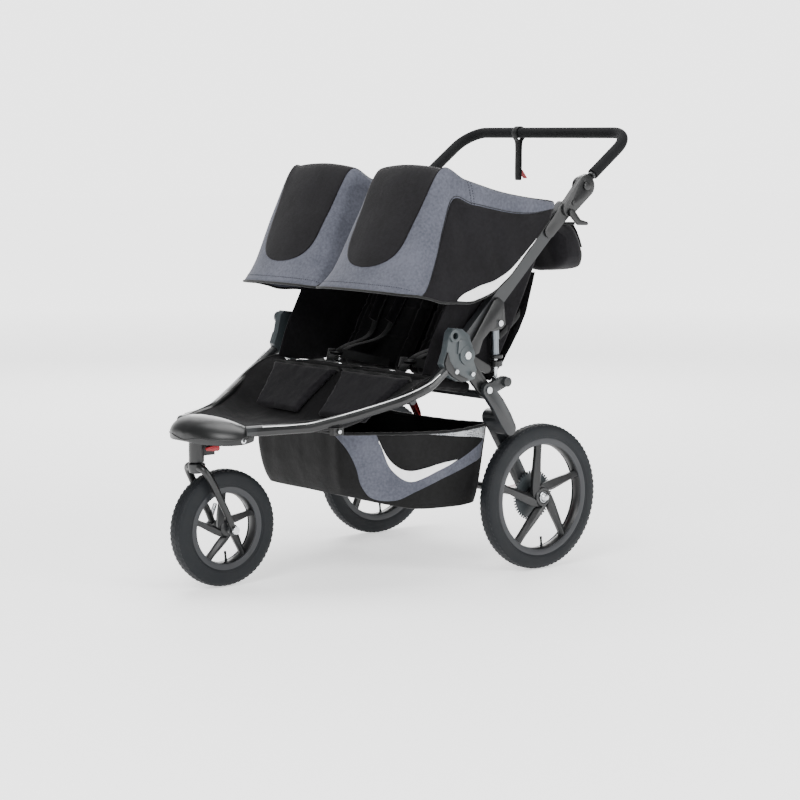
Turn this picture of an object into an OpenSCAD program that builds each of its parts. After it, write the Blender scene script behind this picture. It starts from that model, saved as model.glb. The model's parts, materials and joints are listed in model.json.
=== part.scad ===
// Double jogging stroller: two seats side by side on one folding three-wheel frame.
// The stroller rolls towards -Y, +X is its own left side, +Z is up.
// Origin: on the floor, under the middle of the outer box.

/* [Wheels] */
// Rear tyre diameter
rear_tyre_d = 400; // [380:1:405]
// Rear tyre width
rear_tyre_w = 48; // [44:1:50]
// Front tyre diameter
front_tyre_d = 312; // [300:1:316]
// Front tyre width
front_tyre_w = 54; // [48:1:56]
// Distance between the middles of the rear wheels
rear_track = 702; // [700:1:704]

/* [Frame] */
// Distance of the front axle ahead of the origin
front_axle_y = 509; // [507:1:511]
// Distance of the rear axle behind the origin
rear_axle_y = 292; // [290:1:294]
// Diameter of the side rail tubes
rail_d = 28; // [24:1:29]
// Angle of the upper frame above level
upper_angle = 44.2; // [43.5:0.1:45]
// Length of the upper frame tubes, fold pivot to handle hub
upper_len = 537; // [535:1:540]

/* [Handle] */
// Diameter of the foam grip
grip_d = 31; // [28:1:33]
// Reach of the handlebar from its hinge
handle_reach = 242; // [235:1:244]
// Angle of the handlebar above level
handle_angle = 36.5; // [35:0.5:38]

/* [Seats] */
// Half width inside the two seats
seat_half = 316; // [310:1:318]
// Thickness of the backrests
back_t = 34; // [26:1:36]

/* [Hidden] */
$fn = 48;

fit = 0.05;                         // radial clearance of every running pin
black = "#1b1c1e";
charcoal = "#2a2b30";
casting = "#4a5054";
crest_grey = "#6b6e78";
rubber = "#2b3035";
silver = "#c9ccd0";
red = "#a3121f";

hub = [6, 606];                     // fold pivot in the side view, y and z
arm_pivot = [93, 507];              // suspension pivot
tie_at = [123, 487];                // tie tube between the link plates
shock_top = [145, 681];
shock_low = [150, 526];
rear_axle = [rear_axle_y, rear_tyre_d / 2];
front_axle_at = [0, -front_axle_y, front_tyre_d / 2];
head_y = -589;                      // swivel axis of the fork
crown_z = 318;
top_hub_at = hub + upper_len * [cos(upper_angle), sin(upper_angle)];
handle_hinge = [455, 1040];
handle_dir = [cos(handle_angle), sin(handle_angle)];
bar_at = handle_hinge + handle_reach * handle_dir;
bow_pivot = hub + 391 * [cos(upper_angle), sin(upper_angle)];

tube_in = 323;                      // x layers of the side structure, counted from the middle plane
tube_out = 347;
plate_in = 347.5;
plate_out = 357.5;
outer_in = 358.5;
arm_out = 372;
hub_out = 385.5;
end_x = 388.5;

function unit(v) = v / norm(v);
function turn_at(p, i) = acos(unit(p[i] - p[i - 1]) * unit(p[i + 1] - p[i]));
function side_point(x, p) = [x, p[0], p[1]];

// Puts a child frame at p with the given axes
module place(p, x, y, z) {
    multmatrix([[x[0], y[0], z[0], p[0]], [x[1], y[1], z[1], p[1]], [x[2], y[2], z[2], p[2]], [0, 0, 0, 1]])
        children();
}

// Round bar between two points
module rod(a, b, r) {
    z = unit(b - a);
    x = unit(cross(abs(z[0]) < 0.9 ? [1, 0, 0] : [0, 1, 0], z));
    place(a, x, cross(z, x), z) cylinder(h = norm(b - a), r = r);
}

// Tube bent at each inner point with one radius
module bent_tube(p, r, bend) {
    last = len(p) - 1;
    cut = [for (i = [0:last]) i == 0 || i == last ? 0 : bend * tan(turn_at(p, i) / 2)];
    for (i = [0:last - 1]) {
        d = unit(p[i + 1] - p[i]);
        rod(p[i] + d * cut[i], p[i + 1] - d * cut[i + 1], r);
    }
    for (i = [1:last - 1]) {
        a = unit(p[i] - p[i - 1]);
        n = unit(cross(a, unit(p[i + 1] - p[i])));
        m = cross(n, a);
        place(p[i] - a * cut[i] + m * bend, -m, a, n)
            rotate_extrude(angle = turn_at(p, i)) translate([bend, 0]) circle(r = r);
    }
}

// Side-view outline, y and z, given its thickness from x0 to x1
module side_plate(x0, x1) {
    place([x0, 0, 0], [0, 1, 0], [0, 0, 1], [1, 0, 0]) linear_extrude(x1 - x0) children();
}

// Pin, hole or boss across the side view
module cross_pin(at, r, x0, x1) {
    translate([x0, at[0], at[1]]) rotate([0, 90, 0]) cylinder(h = x1 - x0, r = r);
}

// Flat bar with round ends of two radii
module bar2d(a, b, ra, rb) {
    d = norm(b - a);
    way = atan2(b[1] - a[1], b[0] - a[0]);
    lean = acos((ra - rb) / d);
    up = [cos(way + lean), sin(way + lean)];
    down = [cos(way - lean), sin(way - lean)];
    translate(a) circle(r = ra);
    translate(b) circle(r = rb);
    polygon([a + ra * up, a + ra * down, b + rb * down, b + rb * up]);
}

// Draws a +X side piece on the side named by s, 1 or -1
module on_side(s) {
    if (s > 0) children();
    else mirror([1, 0, 0]) children();
}

// Points along a path whose inner corners are rounded with one bend radius
function arc_points(p, i, bend) =
    let (a = unit(p[i] - p[i - 1]), turn = turn_at(p, i), cut = bend * tan(turn / 2))
    let (m = cross(unit(cross(a, p[i + 1] - p[i])), a), middle = p[i] - a * cut + m * bend)
    let (steps = max(2, ceil(turn / 12)))
    [for (k = [0:steps]) middle - m * bend * cos(turn * k / steps) + a * bend * sin(turn * k / steps)];

function round_path(p, bend) =
    [p[0], for (i = [1:len(p) - 2]) each arc_points(p, i, bend), p[len(p) - 1]];

// Round tube swept along many points, with up as a direction that no stretch of it follows
module swept_tube(p, r, up, sides = 16) {
    last = len(p) - 1;
    function ring(i) =
        let (way = unit(p[min(i + 1, last)] - p[max(i - 1, 0)]), x = unit(cross(up, way)), y = cross(way, x))
        [for (j = [0:sides - 1]) p[i] + r * (cos(360 * j / sides) * x + sin(360 * j / sides) * y)];
    function at(i, j) = i * sides + j % sides;
    polyhedron([for (i = [0:last]) each ring(i)],
        concat([[for (j = [0:sides - 1]) j], [for (j = [sides - 1:-1:0]) at(last, j)]],
            [for (i = [0:last - 1], j = [0:sides - 1]) [at(i, j), at(i + 1, j), at(i + 1, j + 1)]],
            [for (i = [0:last - 1], j = [0:sides - 1]) [at(i, j), at(i + 1, j + 1), at(i, j + 1)]]));
}

// Convex panel of cloth: its corners drawn in by 1.5 mm, given a thickness along n
module panel(corners, n) {
    middle = [for (j = [0:2]) [for (c = corners) c[j]] * [for (c = corners) 1 / len(corners)]];
    hull() for (c = corners, step = [0, 1])
        translate(middle + (c - middle) * (1 - 1.5 / norm(c - middle)) + step * n) cube(0.2, center = true);
}

/* Chassis */

module nose_cap() color(black) difference() {
    cap_shape(0);
    cap_shape(4);
    for (s = [-1, 1]) rod(rail_path(s)[0] - [s * 1.5, 3, 0], rail_path(s)[2], rail_d / 2 + 3.2, $fn = 16);
}

module cap_shape(in) {
    base = in > 0 ? 380 : 396;
    back = in > 0 ? -506 : -520;
    hull() {
        for (s = [-1, 1]) {
            translate([s * 84, -584, base]) cylinder(h = 20, r = 42 - in, $fn = 32);
            translate([s * 142, back, base]) cylinder(h = 26, r = 14 - in, $fn = 24);
            translate([s * 46, -556, 400]) cylinder(h = 52 - in, r = 36 - in, $fn = 24);
        }
        translate([0, -566, base]) cylinder(h = 24, r = 66 - in, $fn = 40);
        translate([0, back, 400]) cylinder(h = 54 - in, r = 14 - in, $fn = 16);
    }
}

module head_bracket() color(black) difference() {
    union() {
        translate([0, head_y, 338]) cylinder(h = 54, r = 20);
        translate([-30, head_y, 392]) cube([60, 110, 8]);
        translate([0, head_y, 392]) cylinder(h = 8, r = 30);
        translate([-4, head_y + 15, 352]) cube([8, 40, 40]);
    }
    translate([0, head_y, 330]) cylinder(h = 80, r = 12 + fit);
    cross_pin(lock_at, 5 + fit, -10, 10);
}

function rail_path(s) = [[s * 148, -536, 426.5], [s * 160, -511, 428], [s * 226, -390, 434],
    [s * 285, -290, 462], [s * 345, -188, 497], [s * 371, -118, 528], [s * 372.5, -63.5, 568.3]];

module side_rail(s) color(black) swept_tube(round_path(rail_path(s), 90), rail_d / 2, [0, 0, 1]);

module cross_tubes() color(black) {
    // front tube inside the nose cap, rear tube under the seat's front edge
    rod([-108, -540, 413], [108, -540, 413], 12);
    rod([-330, -134, 492], [330, -134, 492], 11);
}

module side_hub(s) color(casting) on_side(s) difference() {
    union() {
        side_plate(outer_in, 380) polygon([[-52, 668], [-40, 680], [-8, 676], [16, 658], [27, 630], [28, 598],
            [42, 566], [36, 543], [12, 537], [-15, 538], [-49, 551], [-76, 587], [-62, 622]]);
        cross_pin(hub, 25, 380, hub_out);
        cross_pin([-38, 660], 17, 380, 388);
        side_plate(380, 384) polygon([[-22, 650], [12, 644], [20, 620], [-26, 612]]);
    }
    cross_pin(hub, 6 + fit, 350, 390);
    cross_pin([-38, 660], 9, 366, 390);
}

module pivot_pins() color(silver) for (s = [-1, 1]) on_side(s) {
    cross_pin(hub, 6, 322, hub_out);
    cross_pin(hub, 10, hub_out, end_x);
}

module seat_cushion(s) color(black) on_side(s) side_plate(5, seat_half)
    polygon([[-100, 518], [88, 490], [88, 528], [-20, 546], [-92, 558], [-108, 548]]);

module calf_panel() color(charcoal)
    panel([[-306, -112, 546], [306, -112, 546], [262, -232, 433], [-262, -232, 433]], [0, -10, 10]);

module footwell() color(black)
    panel([[-250, -240, 424], [250, -240, 424], [204, -396, 422], [138, -466, 420], [-138, -466, 420],
        [-204, -396, 422]], [0, 0, 6]);

module basket() color(charcoal) {
    // front, rear and two floor panels, then a corner and a side panel on each side
    panel([[-194, -260, 402], [194, -260, 402], [184, -238, 240], [-184, -238, 240]], [0, 4, 0]);
    panel([[-280, 166, 402], [-280, 128, 192], [280, 128, 192], [280, 166, 402]], [0, -4, 0]);
    panel([[-180, -236, 232], [180, -236, 232], [264, -62, 182], [-264, -62, 182]], [0, 0, 4]);
    panel([[-264, -57, 182], [264, -57, 182], [280, 126, 182], [-280, 126, 182]], [0, 0, 4]);
    for (s = [-1, 1]) on_side(s) {
        panel([[200, -258, 402], [190, -234, 240], [272, -64, 190], [283, -104, 400]], [-4, 0, 0]);
        panel([[285, -98, 400], [274, -58, 190], [287, 127, 190], [290, 165, 402]], [-4, 0, 0]);
    }
}

module frame_bolts() color(silver) for (s = [-1, 1]) on_side(s) {
    // basket clip under each rail, with its screw
    translate([250, -346, 412]) cube([18, 32, 20]);
    cross_pin([-330, 425], 5, 268, 272);
}

module fold_strap() color(red)
    panel([[0, 146, 468], [26, 146, 468], [26, 164, 412], [0, 164, 412]], [0, 2, 0.6]);

lock_at = [head_y + 48, 372];

module swivel_lock_knob() color(red) {
    cross_pin(lock_at, 5, -10, 21);
    for (x = [-10, 4.5]) cross_pin(lock_at, 9, x, x + 5.5);
    side_plate(21, 27) bar2d(lock_at, lock_at - [30, 0], 8, 5);
}

/* Upper frame */

module upper_tube(s) color(black) on_side(s) difference() {
    side_plate(tube_in, tube_out) bar2d(hub, top_hub_at, 20, 20);
    cross_pin(hub, 6 + fit, 300, 360);
}

module top_crossbar() color(black) {
    at = hub + 470 * [cos(upper_angle), sin(upper_angle)];
    cross_pin(at, 13, -tube_in, tube_in);
    // middle bracket and side bosses, with the pins that carry the canopy bows
    side_plate(-6, 6) bar2d(bow_pivot, at + [-14, -13], 12, 8);
    cross_pin(bow_pivot, 5, -18, 18);
    for (s = [-1, 1]) on_side(s) {
        cross_pin(bow_pivot, 12, 316, tube_in);
        cross_pin(bow_pivot, 5, 303, 316);
    }
}

module top_hub(s) color(casting) on_side(s) difference() {
    union() {
        side_plate(tube_out + 0.5, 362) bar2d(top_hub_at, handle_hinge, 22, 30);
        side_plate(tube_out + 0.5, 353) bar2d(top_hub_at, hub + 450 * [cos(upper_angle), sin(upper_angle)], 22, 18);
        cross_pin(top_hub_at + [16, 15], 8, 362, 366);
    }
    cross_pin(handle_hinge, 7 + fit, 340, 370);
    cross_pin(lever_pivot, 4 + fit, 340, 370);
}

lever_pivot = top_hub_at + [4, -12];

module release_lever(s) color(black) on_side(s) {
    cross_pin(lever_pivot, 4, 348, 363);
    side_plate(363, 371) {
        bar2d(lever_pivot, lever_pivot + [26, -26], 10, 8);
        bar2d(lever_pivot + [26, -26], lever_pivot + [54, -30], 8, 5);
    }
}

module rear_pouch() color(black)
    side_plate(-300, 300) polygon([[400, 930], [478, 936], [528, 836], [508, 808], [430, 812]]);

module side_wing(s) color(black) on_side(s)
    panel([[319, 40, 580], [319, 318, 836], [319, 250, 842], [319, -30, 640]], [2, 0, 0]);

/* Seats */

back_foot = [112, 540];
back_head = [300, 872];

module backrest(s) color(black) on_side(s) {
    d = unit(back_head - back_foot);
    n = [d[1], -d[0]];
    side_plate(5, seat_half - 2) polygon([back_foot, back_head, back_head + back_t * n, back_foot + back_t * n]);
}

module harness(s) color(black) on_side(s) {
    d = unit(back_head - back_foot);
    n = [d[1], -d[0]];
    top = back_foot + 250 * d - 0.5 * n;
    low = back_foot + 80 * d - 0.5 * n;
    for (x = [115, 180]) side_plate(x, x + 26) polygon([top, low, low - 5 * n, top - 5 * n]);
    side_plate(128, 193) polygon([low, low - 30 * d, low - 30 * d - 14 * n, low - 14 * n]);
}

/* Canopies: each is a crested hood with a sloping front, a roof and two sides */

module canopy(s) color(crest_grey) on_side(s) {
    // front, crest and roof, then the outer and the inner side
    panel([[50, -26, 1090], [330, -26, 1090], [352, -186, 774], [6, -206, 774]], [0, 3, -2]);
    panel([[50, -20, 1090], [330, -20, 1090], [346, 46, 1060], [34, 46, 1060]], [0, -1, -3]);
    panel([[34, 54, 1058], [346, 54, 1058], [350, 352, 1003], [8, 352, 1003]], [0, 0, -3]);
    panel([[336, -18, 1084], [352, 48, 1050], [355, 100, 762], [356, 6, 750], [356, -160, 776]], [2, 0, 0]);
    panel([[352, 54, 1048], [352, 350, 1000], [352, 328, 960], [355, 170, 800], [355, 106, 764]], [2, 0, 0]);
    panel([[44, -22, 1082], [28, 44, 1052], [4, 40, 1000], [4, -186, 784]], [-2, 0, 0]);
}

module canopy_bow(s) color(charcoal) on_side(s) {
    far = [-150, 800];
    near = bow_pivot + 8 * unit(far - bow_pivot);
    difference() {
        union() {
            for (x = [8, 305]) cross_pin(bow_pivot, 11, x, x + 8);
            swept_tube(round_path([side_point(12, near), side_point(12, far), side_point(309, far),
                side_point(309, near)], 60), 3, [0, unit(near - far)[1], -unit(near - far)[0]], 8);
        }
        for (x = [7, 304]) cross_pin(bow_pivot, 5 + fit, x, x + 10);
    }
}

/* Handlebar */

module handle_frame() {
    place([0, handle_hinge[0], handle_hinge[1]], [1, 0, 0], [0, handle_dir[0], handle_dir[1]],
        [0, -handle_dir[1], handle_dir[0]]) children();
}

function handle_path(start) = [[-342, start, 0], [-342, handle_reach, 0], [342, handle_reach, 0], [342, start, 0]];

module handle_tube() color(black) handle_frame() bent_tube(handle_path(43.5), 11, 75);

module grip_foam() color("#202124") handle_frame() difference() {
    bent_tube(handle_path(52), grip_d / 2, 75);
    bent_tube(handle_path(50), 11, 75);
}

module handle_knuckles() color(casting) for (s = [-1, 1]) on_side(s) {
    // inner half of each handle hinge, with its bolt
    side_plate(330, tube_out) bar2d(handle_hinge, handle_hinge + 26 * handle_dir, 26, 17);
    cross_pin(handle_hinge, 7, tube_out, 363);
    cross_pin(handle_hinge, 12, 363, 366);
}

module wrist_strap() color(black) {
    top = bar_at - [0, grip_d / 2 + 0.5];
    side_plate(-137, -113) polygon([top + [-1.5, 0], top + [1.5, 0], top + [5, -150], top + [1, -150]]);
}

/* Rear links and suspension */

module link_plate(s) color(casting) on_side(s) difference() {
    side_plate(plate_in, plate_out) {
        bar2d(hub, arm_pivot, 22, 20);
        bar2d(arm_pivot, tie_at, 20, 16);
        bar2d(hub, [100, 562], 16, 12);
        polygon([[14, 620], [44, 636], [122, 742], [140, 750], [158, 736], [164, 676], [136, 662], [109, 662],
            [84, 640], [70, 606], [40, 596]]);
        translate(shock_top) circle(r = 16);
    }
    cross_pin(hub, 6 + fit, 340, 360);
    cross_pin(arm_pivot, 6, 340, 360);
    cross_pin(shock_top, 5, 340, 360);
}

module tie_tube() color(black) cross_pin(tie_at, 11, -plate_in, plate_in);

module link_bolts() color(silver) for (s = [-1, 1]) on_side(s) {
    cross_pin(arm_pivot, 6, plate_in, arm_out + 1);
    cross_pin(arm_pivot, 9, arm_out + 1, arm_out + 4);
    cross_pin(shock_top, 5, 322, plate_out);
    cross_pin(shock_top, 8, plate_out, plate_out + 4);
}

shock_axis = unit(shock_low - shock_top);

module shock_frame(s) {
    on_side(s) place([334, shock_top[0], shock_top[1]], [1, 0, 0], [0, -shock_axis[1], shock_axis[0]],
        [0, shock_axis[0], shock_axis[1]]) children();
}

module shock_body(s) color("#8b9096") shock_frame(s) difference() {
    union() {
        translate([-7, 0, 0]) rotate([0, 90, 0]) cylinder(h = 14, r = 10);
        cylinder(h = 88, r = 10.5);
        translate([0, 0, 14]) cylinder(h = 30, r = 12);
    }
    translate([-20, 0, 0]) rotate([0, 90, 0]) cylinder(h = 40, r = 5 + fit);
    translate([0, 0, 50]) cylinder(h = 50, r = 6);
}

module shock_rod(s) color(silver) shock_frame(s) difference() {
    union() {
        translate([0, 0, 70]) cylinder(h = norm(shock_low - shock_top) - 70, r = 5.9);
        translate([-6, 0, norm(shock_low - shock_top)]) rotate([0, 90, 0]) cylinder(h = 12, r = 10);
    }
    translate([-20, 0, norm(shock_low - shock_top)]) rotate([0, 90, 0]) cylinder(h = 40, r = 6);
}

module swing_arm(s) color(charcoal) on_side(s) difference() {
    union() {
        side_plate(outer_in, arm_out) {
            bar2d(arm_pivot, [128, 466], 19, 21);
            bar2d([128, 466], [154, 426], 21, 22);
            bar2d(arm_pivot, shock_low, 16, 15);
        }
        side_plate(300, arm_out) bar2d([154, 426], [172, 398], 22, 19);
        side_plate(300, tube_in + 1) bar2d([172, 398], rear_axle, 19, 16);
        cross_pin(rear_axle, 20, 300, tube_in + 1);
        cross_pin(shock_low, 5, 326, outer_in);
        cross_pin(shock_low, 13, arm_out, 384);
    }
    cross_pin(arm_pivot, 6 + fit, 350, 380);
    cross_pin(rear_axle, 11, 290, 330);
}

brake_pivot = rear_axle + [28, -2];

module axle_tube() color(black) difference() {
    union() {
        cross_pin(rear_axle, 11, -tube_in - 1, tube_in + 1);
        for (s = [-1, 1]) on_side(s) cross_pin(rear_axle, 6, tube_in + 1, 384);
        side_plate(264, 274) bar2d(rear_axle, brake_pivot, 14, 9);
    }
    cross_pin(brake_pivot, 4 + fit, 260, 280);
}

module brake_pedal() color(red) {
    side_plate(196, 262) bar2d(brake_pivot, brake_pivot + [44, 8], 7, 4);
    cross_pin(brake_pivot, 4, 262, 277);
}

/* Wheels, modelled about their own axis and then set on it */

module wheel_at(at) {
    translate(at) rotate([0, 90, 0]) children();
}

module tyre(d, w) color(rubber) rotate_extrude() difference() {
    translate([d / 2 - w / 2, 0]) circle(r = w / 2);
    translate([d / 2 - w / 2, 0]) circle(r = w / 2 - 4);
    translate([0, -w]) square([d / 2 - w + 5, 2 * w]);
}

module rim(d, w, hub_r, hub_w) color(black) {
    seat_r = d / 2 - w + 5;
    rotate_extrude() translate([seat_r - 15, -14]) square([15, 28]);
    cylinder(h = hub_w, r = hub_r, center = true);
    for (i = [0:4]) rotate(72 * i) linear_extrude(16, center = true)
        polygon([[0, -hub_r / 2], [hub_r + 4, -6], [seat_r - 12, 18], [seat_r - 12, 34], [seat_r / 2, 22],
            [0, hub_r / 2]]);
}

module rear_tyre(s) wheel_at([s * rear_track / 2, rear_axle[0], rear_axle[1]]) tyre(rear_tyre_d, rear_tyre_w);

module rear_rim(s) on_side(s) wheel_at([rear_track / 2, rear_axle[0], rear_axle[1]]) difference() {
    union() {
        rim(rear_tyre_d, rear_tyre_w, 24, 50);
        // toothed brake disc on the inner side, and the cap over the end of the axle
        color(charcoal) translate([0, 0, -24]) cylinder(h = 4, r = 56);
        color(charcoal) for (i = [0:23]) rotate(15 * i) translate([50, -4, -24]) cube([13, 8, 4]);
        color(silver) cylinder(h = 37.5, r = 14);
    }
    translate([0, 0, -30]) cylinder(h = 64, r = 6 + fit);
}

module front_tyre() wheel_at(front_axle_at) tyre(front_tyre_d, front_tyre_w);

module front_rim() wheel_at(front_axle_at) difference() {
    rim(front_tyre_d, front_tyre_w, 20, 62);
    cylinder(h = 70, r = 5 + fit, center = true);
}

module front_fork() color(black) {
    translate([0, head_y, crown_z + 14]) cylinder(h = 76, r = 12);
    translate([0, head_y, crown_z]) cylinder(h = 14, r = 22);
    translate([-56, head_y - 16, crown_z]) cube([112, 30, 14]);
    for (s = [-1, 1]) on_side(s) difference() {
        union() {
            swept_tube(round_path([[46, head_y - 4, crown_z + 4], [46, -566, 285], [46, -533, 222],
                [46, -front_axle_y, front_tyre_d / 2 + 10]], 40), 11, [1, 0, 0]);
            cross_pin([-front_axle_y, front_tyre_d / 2], 17, 40, 50);
        }
        cross_pin([-front_axle_y, front_tyre_d / 2], 5 + fit, 30, 70);
    }
}

front_axle_side = [-front_axle_y, front_tyre_d / 2];

module front_axle() color(silver) {
    cross_pin(front_axle_side, 5, -55, 58);
    cross_pin(front_axle_side, 10, 58, 64);
}

// a cam barrel with its lever, which flips out about the barrel's own axis
module quick_release() color(silver) {
    rod([-62, front_axle_side[0] - 6.5, front_axle_side[1] + 2.6], [-62, front_axle_side[0] + 6.5, front_axle_side[1] - 2.6], 5.8);
    side_plate(-66, -61) bar2d(front_axle_side, front_axle_side + [20, 50], 5, 5);
}

nose_cap();
head_bracket();
side_rail(1);  // side_rail_left
side_rail(-1);  // side_rail_right
cross_tubes();
side_hub(1);  // side_hub_left
side_hub(-1);  // side_hub_right
pivot_pins();
seat_cushion(1);  // seat_cushion_left
seat_cushion(-1);  // seat_cushion_right
calf_panel();
footwell();
basket();
frame_bolts();
fold_strap();
swivel_lock_knob();
upper_tube(1);  // upper_tube_left
upper_tube(-1);  // upper_tube_right
top_crossbar();
top_hub(1);  // top_hub_left
top_hub(-1);  // top_hub_right
rear_pouch();
side_wing(1);  // side_wing_left
side_wing(-1);  // side_wing_right
backrest(1);  // backrest_left
backrest(-1);  // backrest_right
harness(1);  // harness_left
harness(-1);  // harness_right
canopy(1);  // canopy_left
canopy(-1);  // canopy_right
canopy_bow(1);  // canopy_bow_left
canopy_bow(-1);  // canopy_bow_right
handle_tube();
grip_foam();
handle_knuckles();
wrist_strap();
release_lever(1);  // release_lever_left
release_lever(-1);  // release_lever_right
link_plate(1);  // link_plate_left
link_plate(-1);  // link_plate_right
tie_tube();
link_bolts();
shock_body(1);  // shock_body_left
shock_body(-1);  // shock_body_right
shock_rod(1);  // shock_rod_left
shock_rod(-1);  // shock_rod_right
swing_arm(1);  // swing_arm_left
swing_arm(-1);  // swing_arm_right
axle_tube();
brake_pedal();
rear_tyre(1);  // rear_tyre_left
rear_tyre(-1);  // rear_tyre_right
rear_rim(1);  // rear_rim_left
rear_rim(-1);  // rear_rim_right
front_fork();
front_axle();
quick_release();
front_tyre();
front_rim();
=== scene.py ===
import json
import math

import bmesh
import bpy
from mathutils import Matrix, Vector, noise


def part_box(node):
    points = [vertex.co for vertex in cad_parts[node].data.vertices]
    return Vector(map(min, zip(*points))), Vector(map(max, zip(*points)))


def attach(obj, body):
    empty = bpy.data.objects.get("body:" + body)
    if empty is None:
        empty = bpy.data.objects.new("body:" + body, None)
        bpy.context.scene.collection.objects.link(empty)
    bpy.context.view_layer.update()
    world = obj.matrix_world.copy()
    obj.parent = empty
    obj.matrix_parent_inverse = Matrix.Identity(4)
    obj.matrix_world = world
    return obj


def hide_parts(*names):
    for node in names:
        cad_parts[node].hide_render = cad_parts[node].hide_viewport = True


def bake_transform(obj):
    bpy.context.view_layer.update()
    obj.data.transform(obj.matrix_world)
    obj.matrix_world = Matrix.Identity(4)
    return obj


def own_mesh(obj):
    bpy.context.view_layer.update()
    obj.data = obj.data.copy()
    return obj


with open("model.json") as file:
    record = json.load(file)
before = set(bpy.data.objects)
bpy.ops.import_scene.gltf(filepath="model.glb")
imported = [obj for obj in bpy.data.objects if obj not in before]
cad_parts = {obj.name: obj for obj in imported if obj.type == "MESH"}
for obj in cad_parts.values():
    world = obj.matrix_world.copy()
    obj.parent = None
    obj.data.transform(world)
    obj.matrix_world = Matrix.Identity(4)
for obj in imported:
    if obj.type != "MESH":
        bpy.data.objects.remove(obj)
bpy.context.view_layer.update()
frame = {"nodes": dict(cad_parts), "record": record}
nodes = frame["nodes"]
mm = 0.001
sides = (("left", 1), ("right", -1))  # left is the stroller's own left, +X

print("camera, floor and lights")
view = {"eye": (4.672, -3.7505, 1.183), "aim": (0.114, 0.0, 0.464), "lens": 98.6}


def addToScene(name, data):
    thing = bpy.data.objects.new(name, data)
    bpy.context.scene.collection.objects.link(thing)
    return thing


def pointAt(thing, target):
    thing.rotation_euler = (Vector(target) - thing.location).to_track_quat("-Z", "Y").to_euler()


camera = addToScene("camera", bpy.data.cameras.new("camera"))
camera.data.lens = view["lens"]
camera.location = view["eye"]
pointAt(camera, view["aim"])
bpy.context.scene.camera = camera

# each softbox: place, size and watts, all aimed at the stroller's middle
softboxes = {
    "keyBox": ((2.2, -4.2, 3.6), 2.6, 230),
    "sideBox": ((4.6, 1.2, 2.2), 2.2, 150),
    "topBox": ((-0.6, 0.2, 4.2), 3.2, 200),
    "backBox": ((-3.6, 2.6, 2.6), 2.4, 110),
}
for name, (place, size, power) in softboxes.items():
    light = addToScene(name, bpy.data.lights.new(name, "AREA"))
    light.data.energy = power
    light.data.size = size
    light.location = place
    pointAt(light, (0, 0, 0.5))


def linear(hexColour):
    parts = [int(hexColour[i:i + 2], 16) / 255 for i in (1, 3, 5)]
    return [c / 12.92 if c < 0.04045 else ((c + 0.055) / 1.055) ** 2.4 for c in parts] + [1.0]


def addNode(material, kind, inputs=None, **settings):
    node = material.node_tree.nodes.new("ShaderNode" + kind)
    for name, value in settings.items():
        setattr(node, name, value)
    for socket, value in (inputs or {}).items():
        if isinstance(value, bpy.types.NodeSocket):
            material.node_tree.links.new(value, node.inputs[socket])
        else:
            node.inputs[socket].default_value = value
    return node


def startMaterial(name, roughness, metallic=0.0, ior=None):
    material = bpy.data.materials.new(name)
    material.use_nodes = True
    shader = material.node_tree.nodes["Principled BSDF"]
    shader.inputs["Roughness"].default_value = roughness
    shader.inputs["Metallic"].default_value = metallic
    if ior:
        shader.inputs["IOR"].default_value = ior
    return material, shader, addNode(material, "TexCoord").outputs["Object"]


print("materials")


def patterned(name, light, dark, cloudMm, grainMm, reliefMm, roughness, metallic=0.0, ior=None, wear=0.0):
    # a hard surface: faint clouds of tone, a fine grain in relief, and paler worn edges
    material, shader, place = startMaterial(name, roughness, metallic, ior)
    if roughness > 0.5:
        shader.inputs["Specular IOR Level"].default_value = 0.25   # dry, porous surface
    clouds = addNode(material, "TexNoise", {"Vector": place, "Scale": 1 / (cloudMm * mm), "Detail": 5})
    tone = addNode(material, "Mix", {0: clouds.outputs["Fac"], 6: linear(dark), 7: linear(light)},
                   data_type="RGBA").outputs[2]
    if wear:
        edges = addNode(material, "MapRange", {0: addNode(material, "NewGeometry").outputs["Pointiness"],
                                               1: 0.53, 2: 0.62, 4: wear})
        tone = addNode(material, "Mix", {0: edges.outputs[0], 6: tone, 7: linear("#4a4d50")},
                       data_type="RGBA").outputs[2]
    gloss = addNode(material, "MapRange", {0: clouds.outputs["Fac"], 1: 0.3, 2: 0.7,
                                           3: roughness - 0.05, 4: roughness + 0.07})
    grain = addNode(material, "TexNoise", {"Vector": place, "Scale": 1 / (grainMm * mm), "Detail": 3})
    relief = addNode(material, "Bump", {"Height": grain.outputs["Fac"], "Distance": reliefMm * mm,
                                        "Strength": 0.5})
    for socket, value in (("Base Color", tone), ("Roughness", gloss.outputs[0]),
                          ("Normal", relief.outputs[0])):
        material.node_tree.links.new(value, shader.inputs[socket])
    return material


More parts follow.
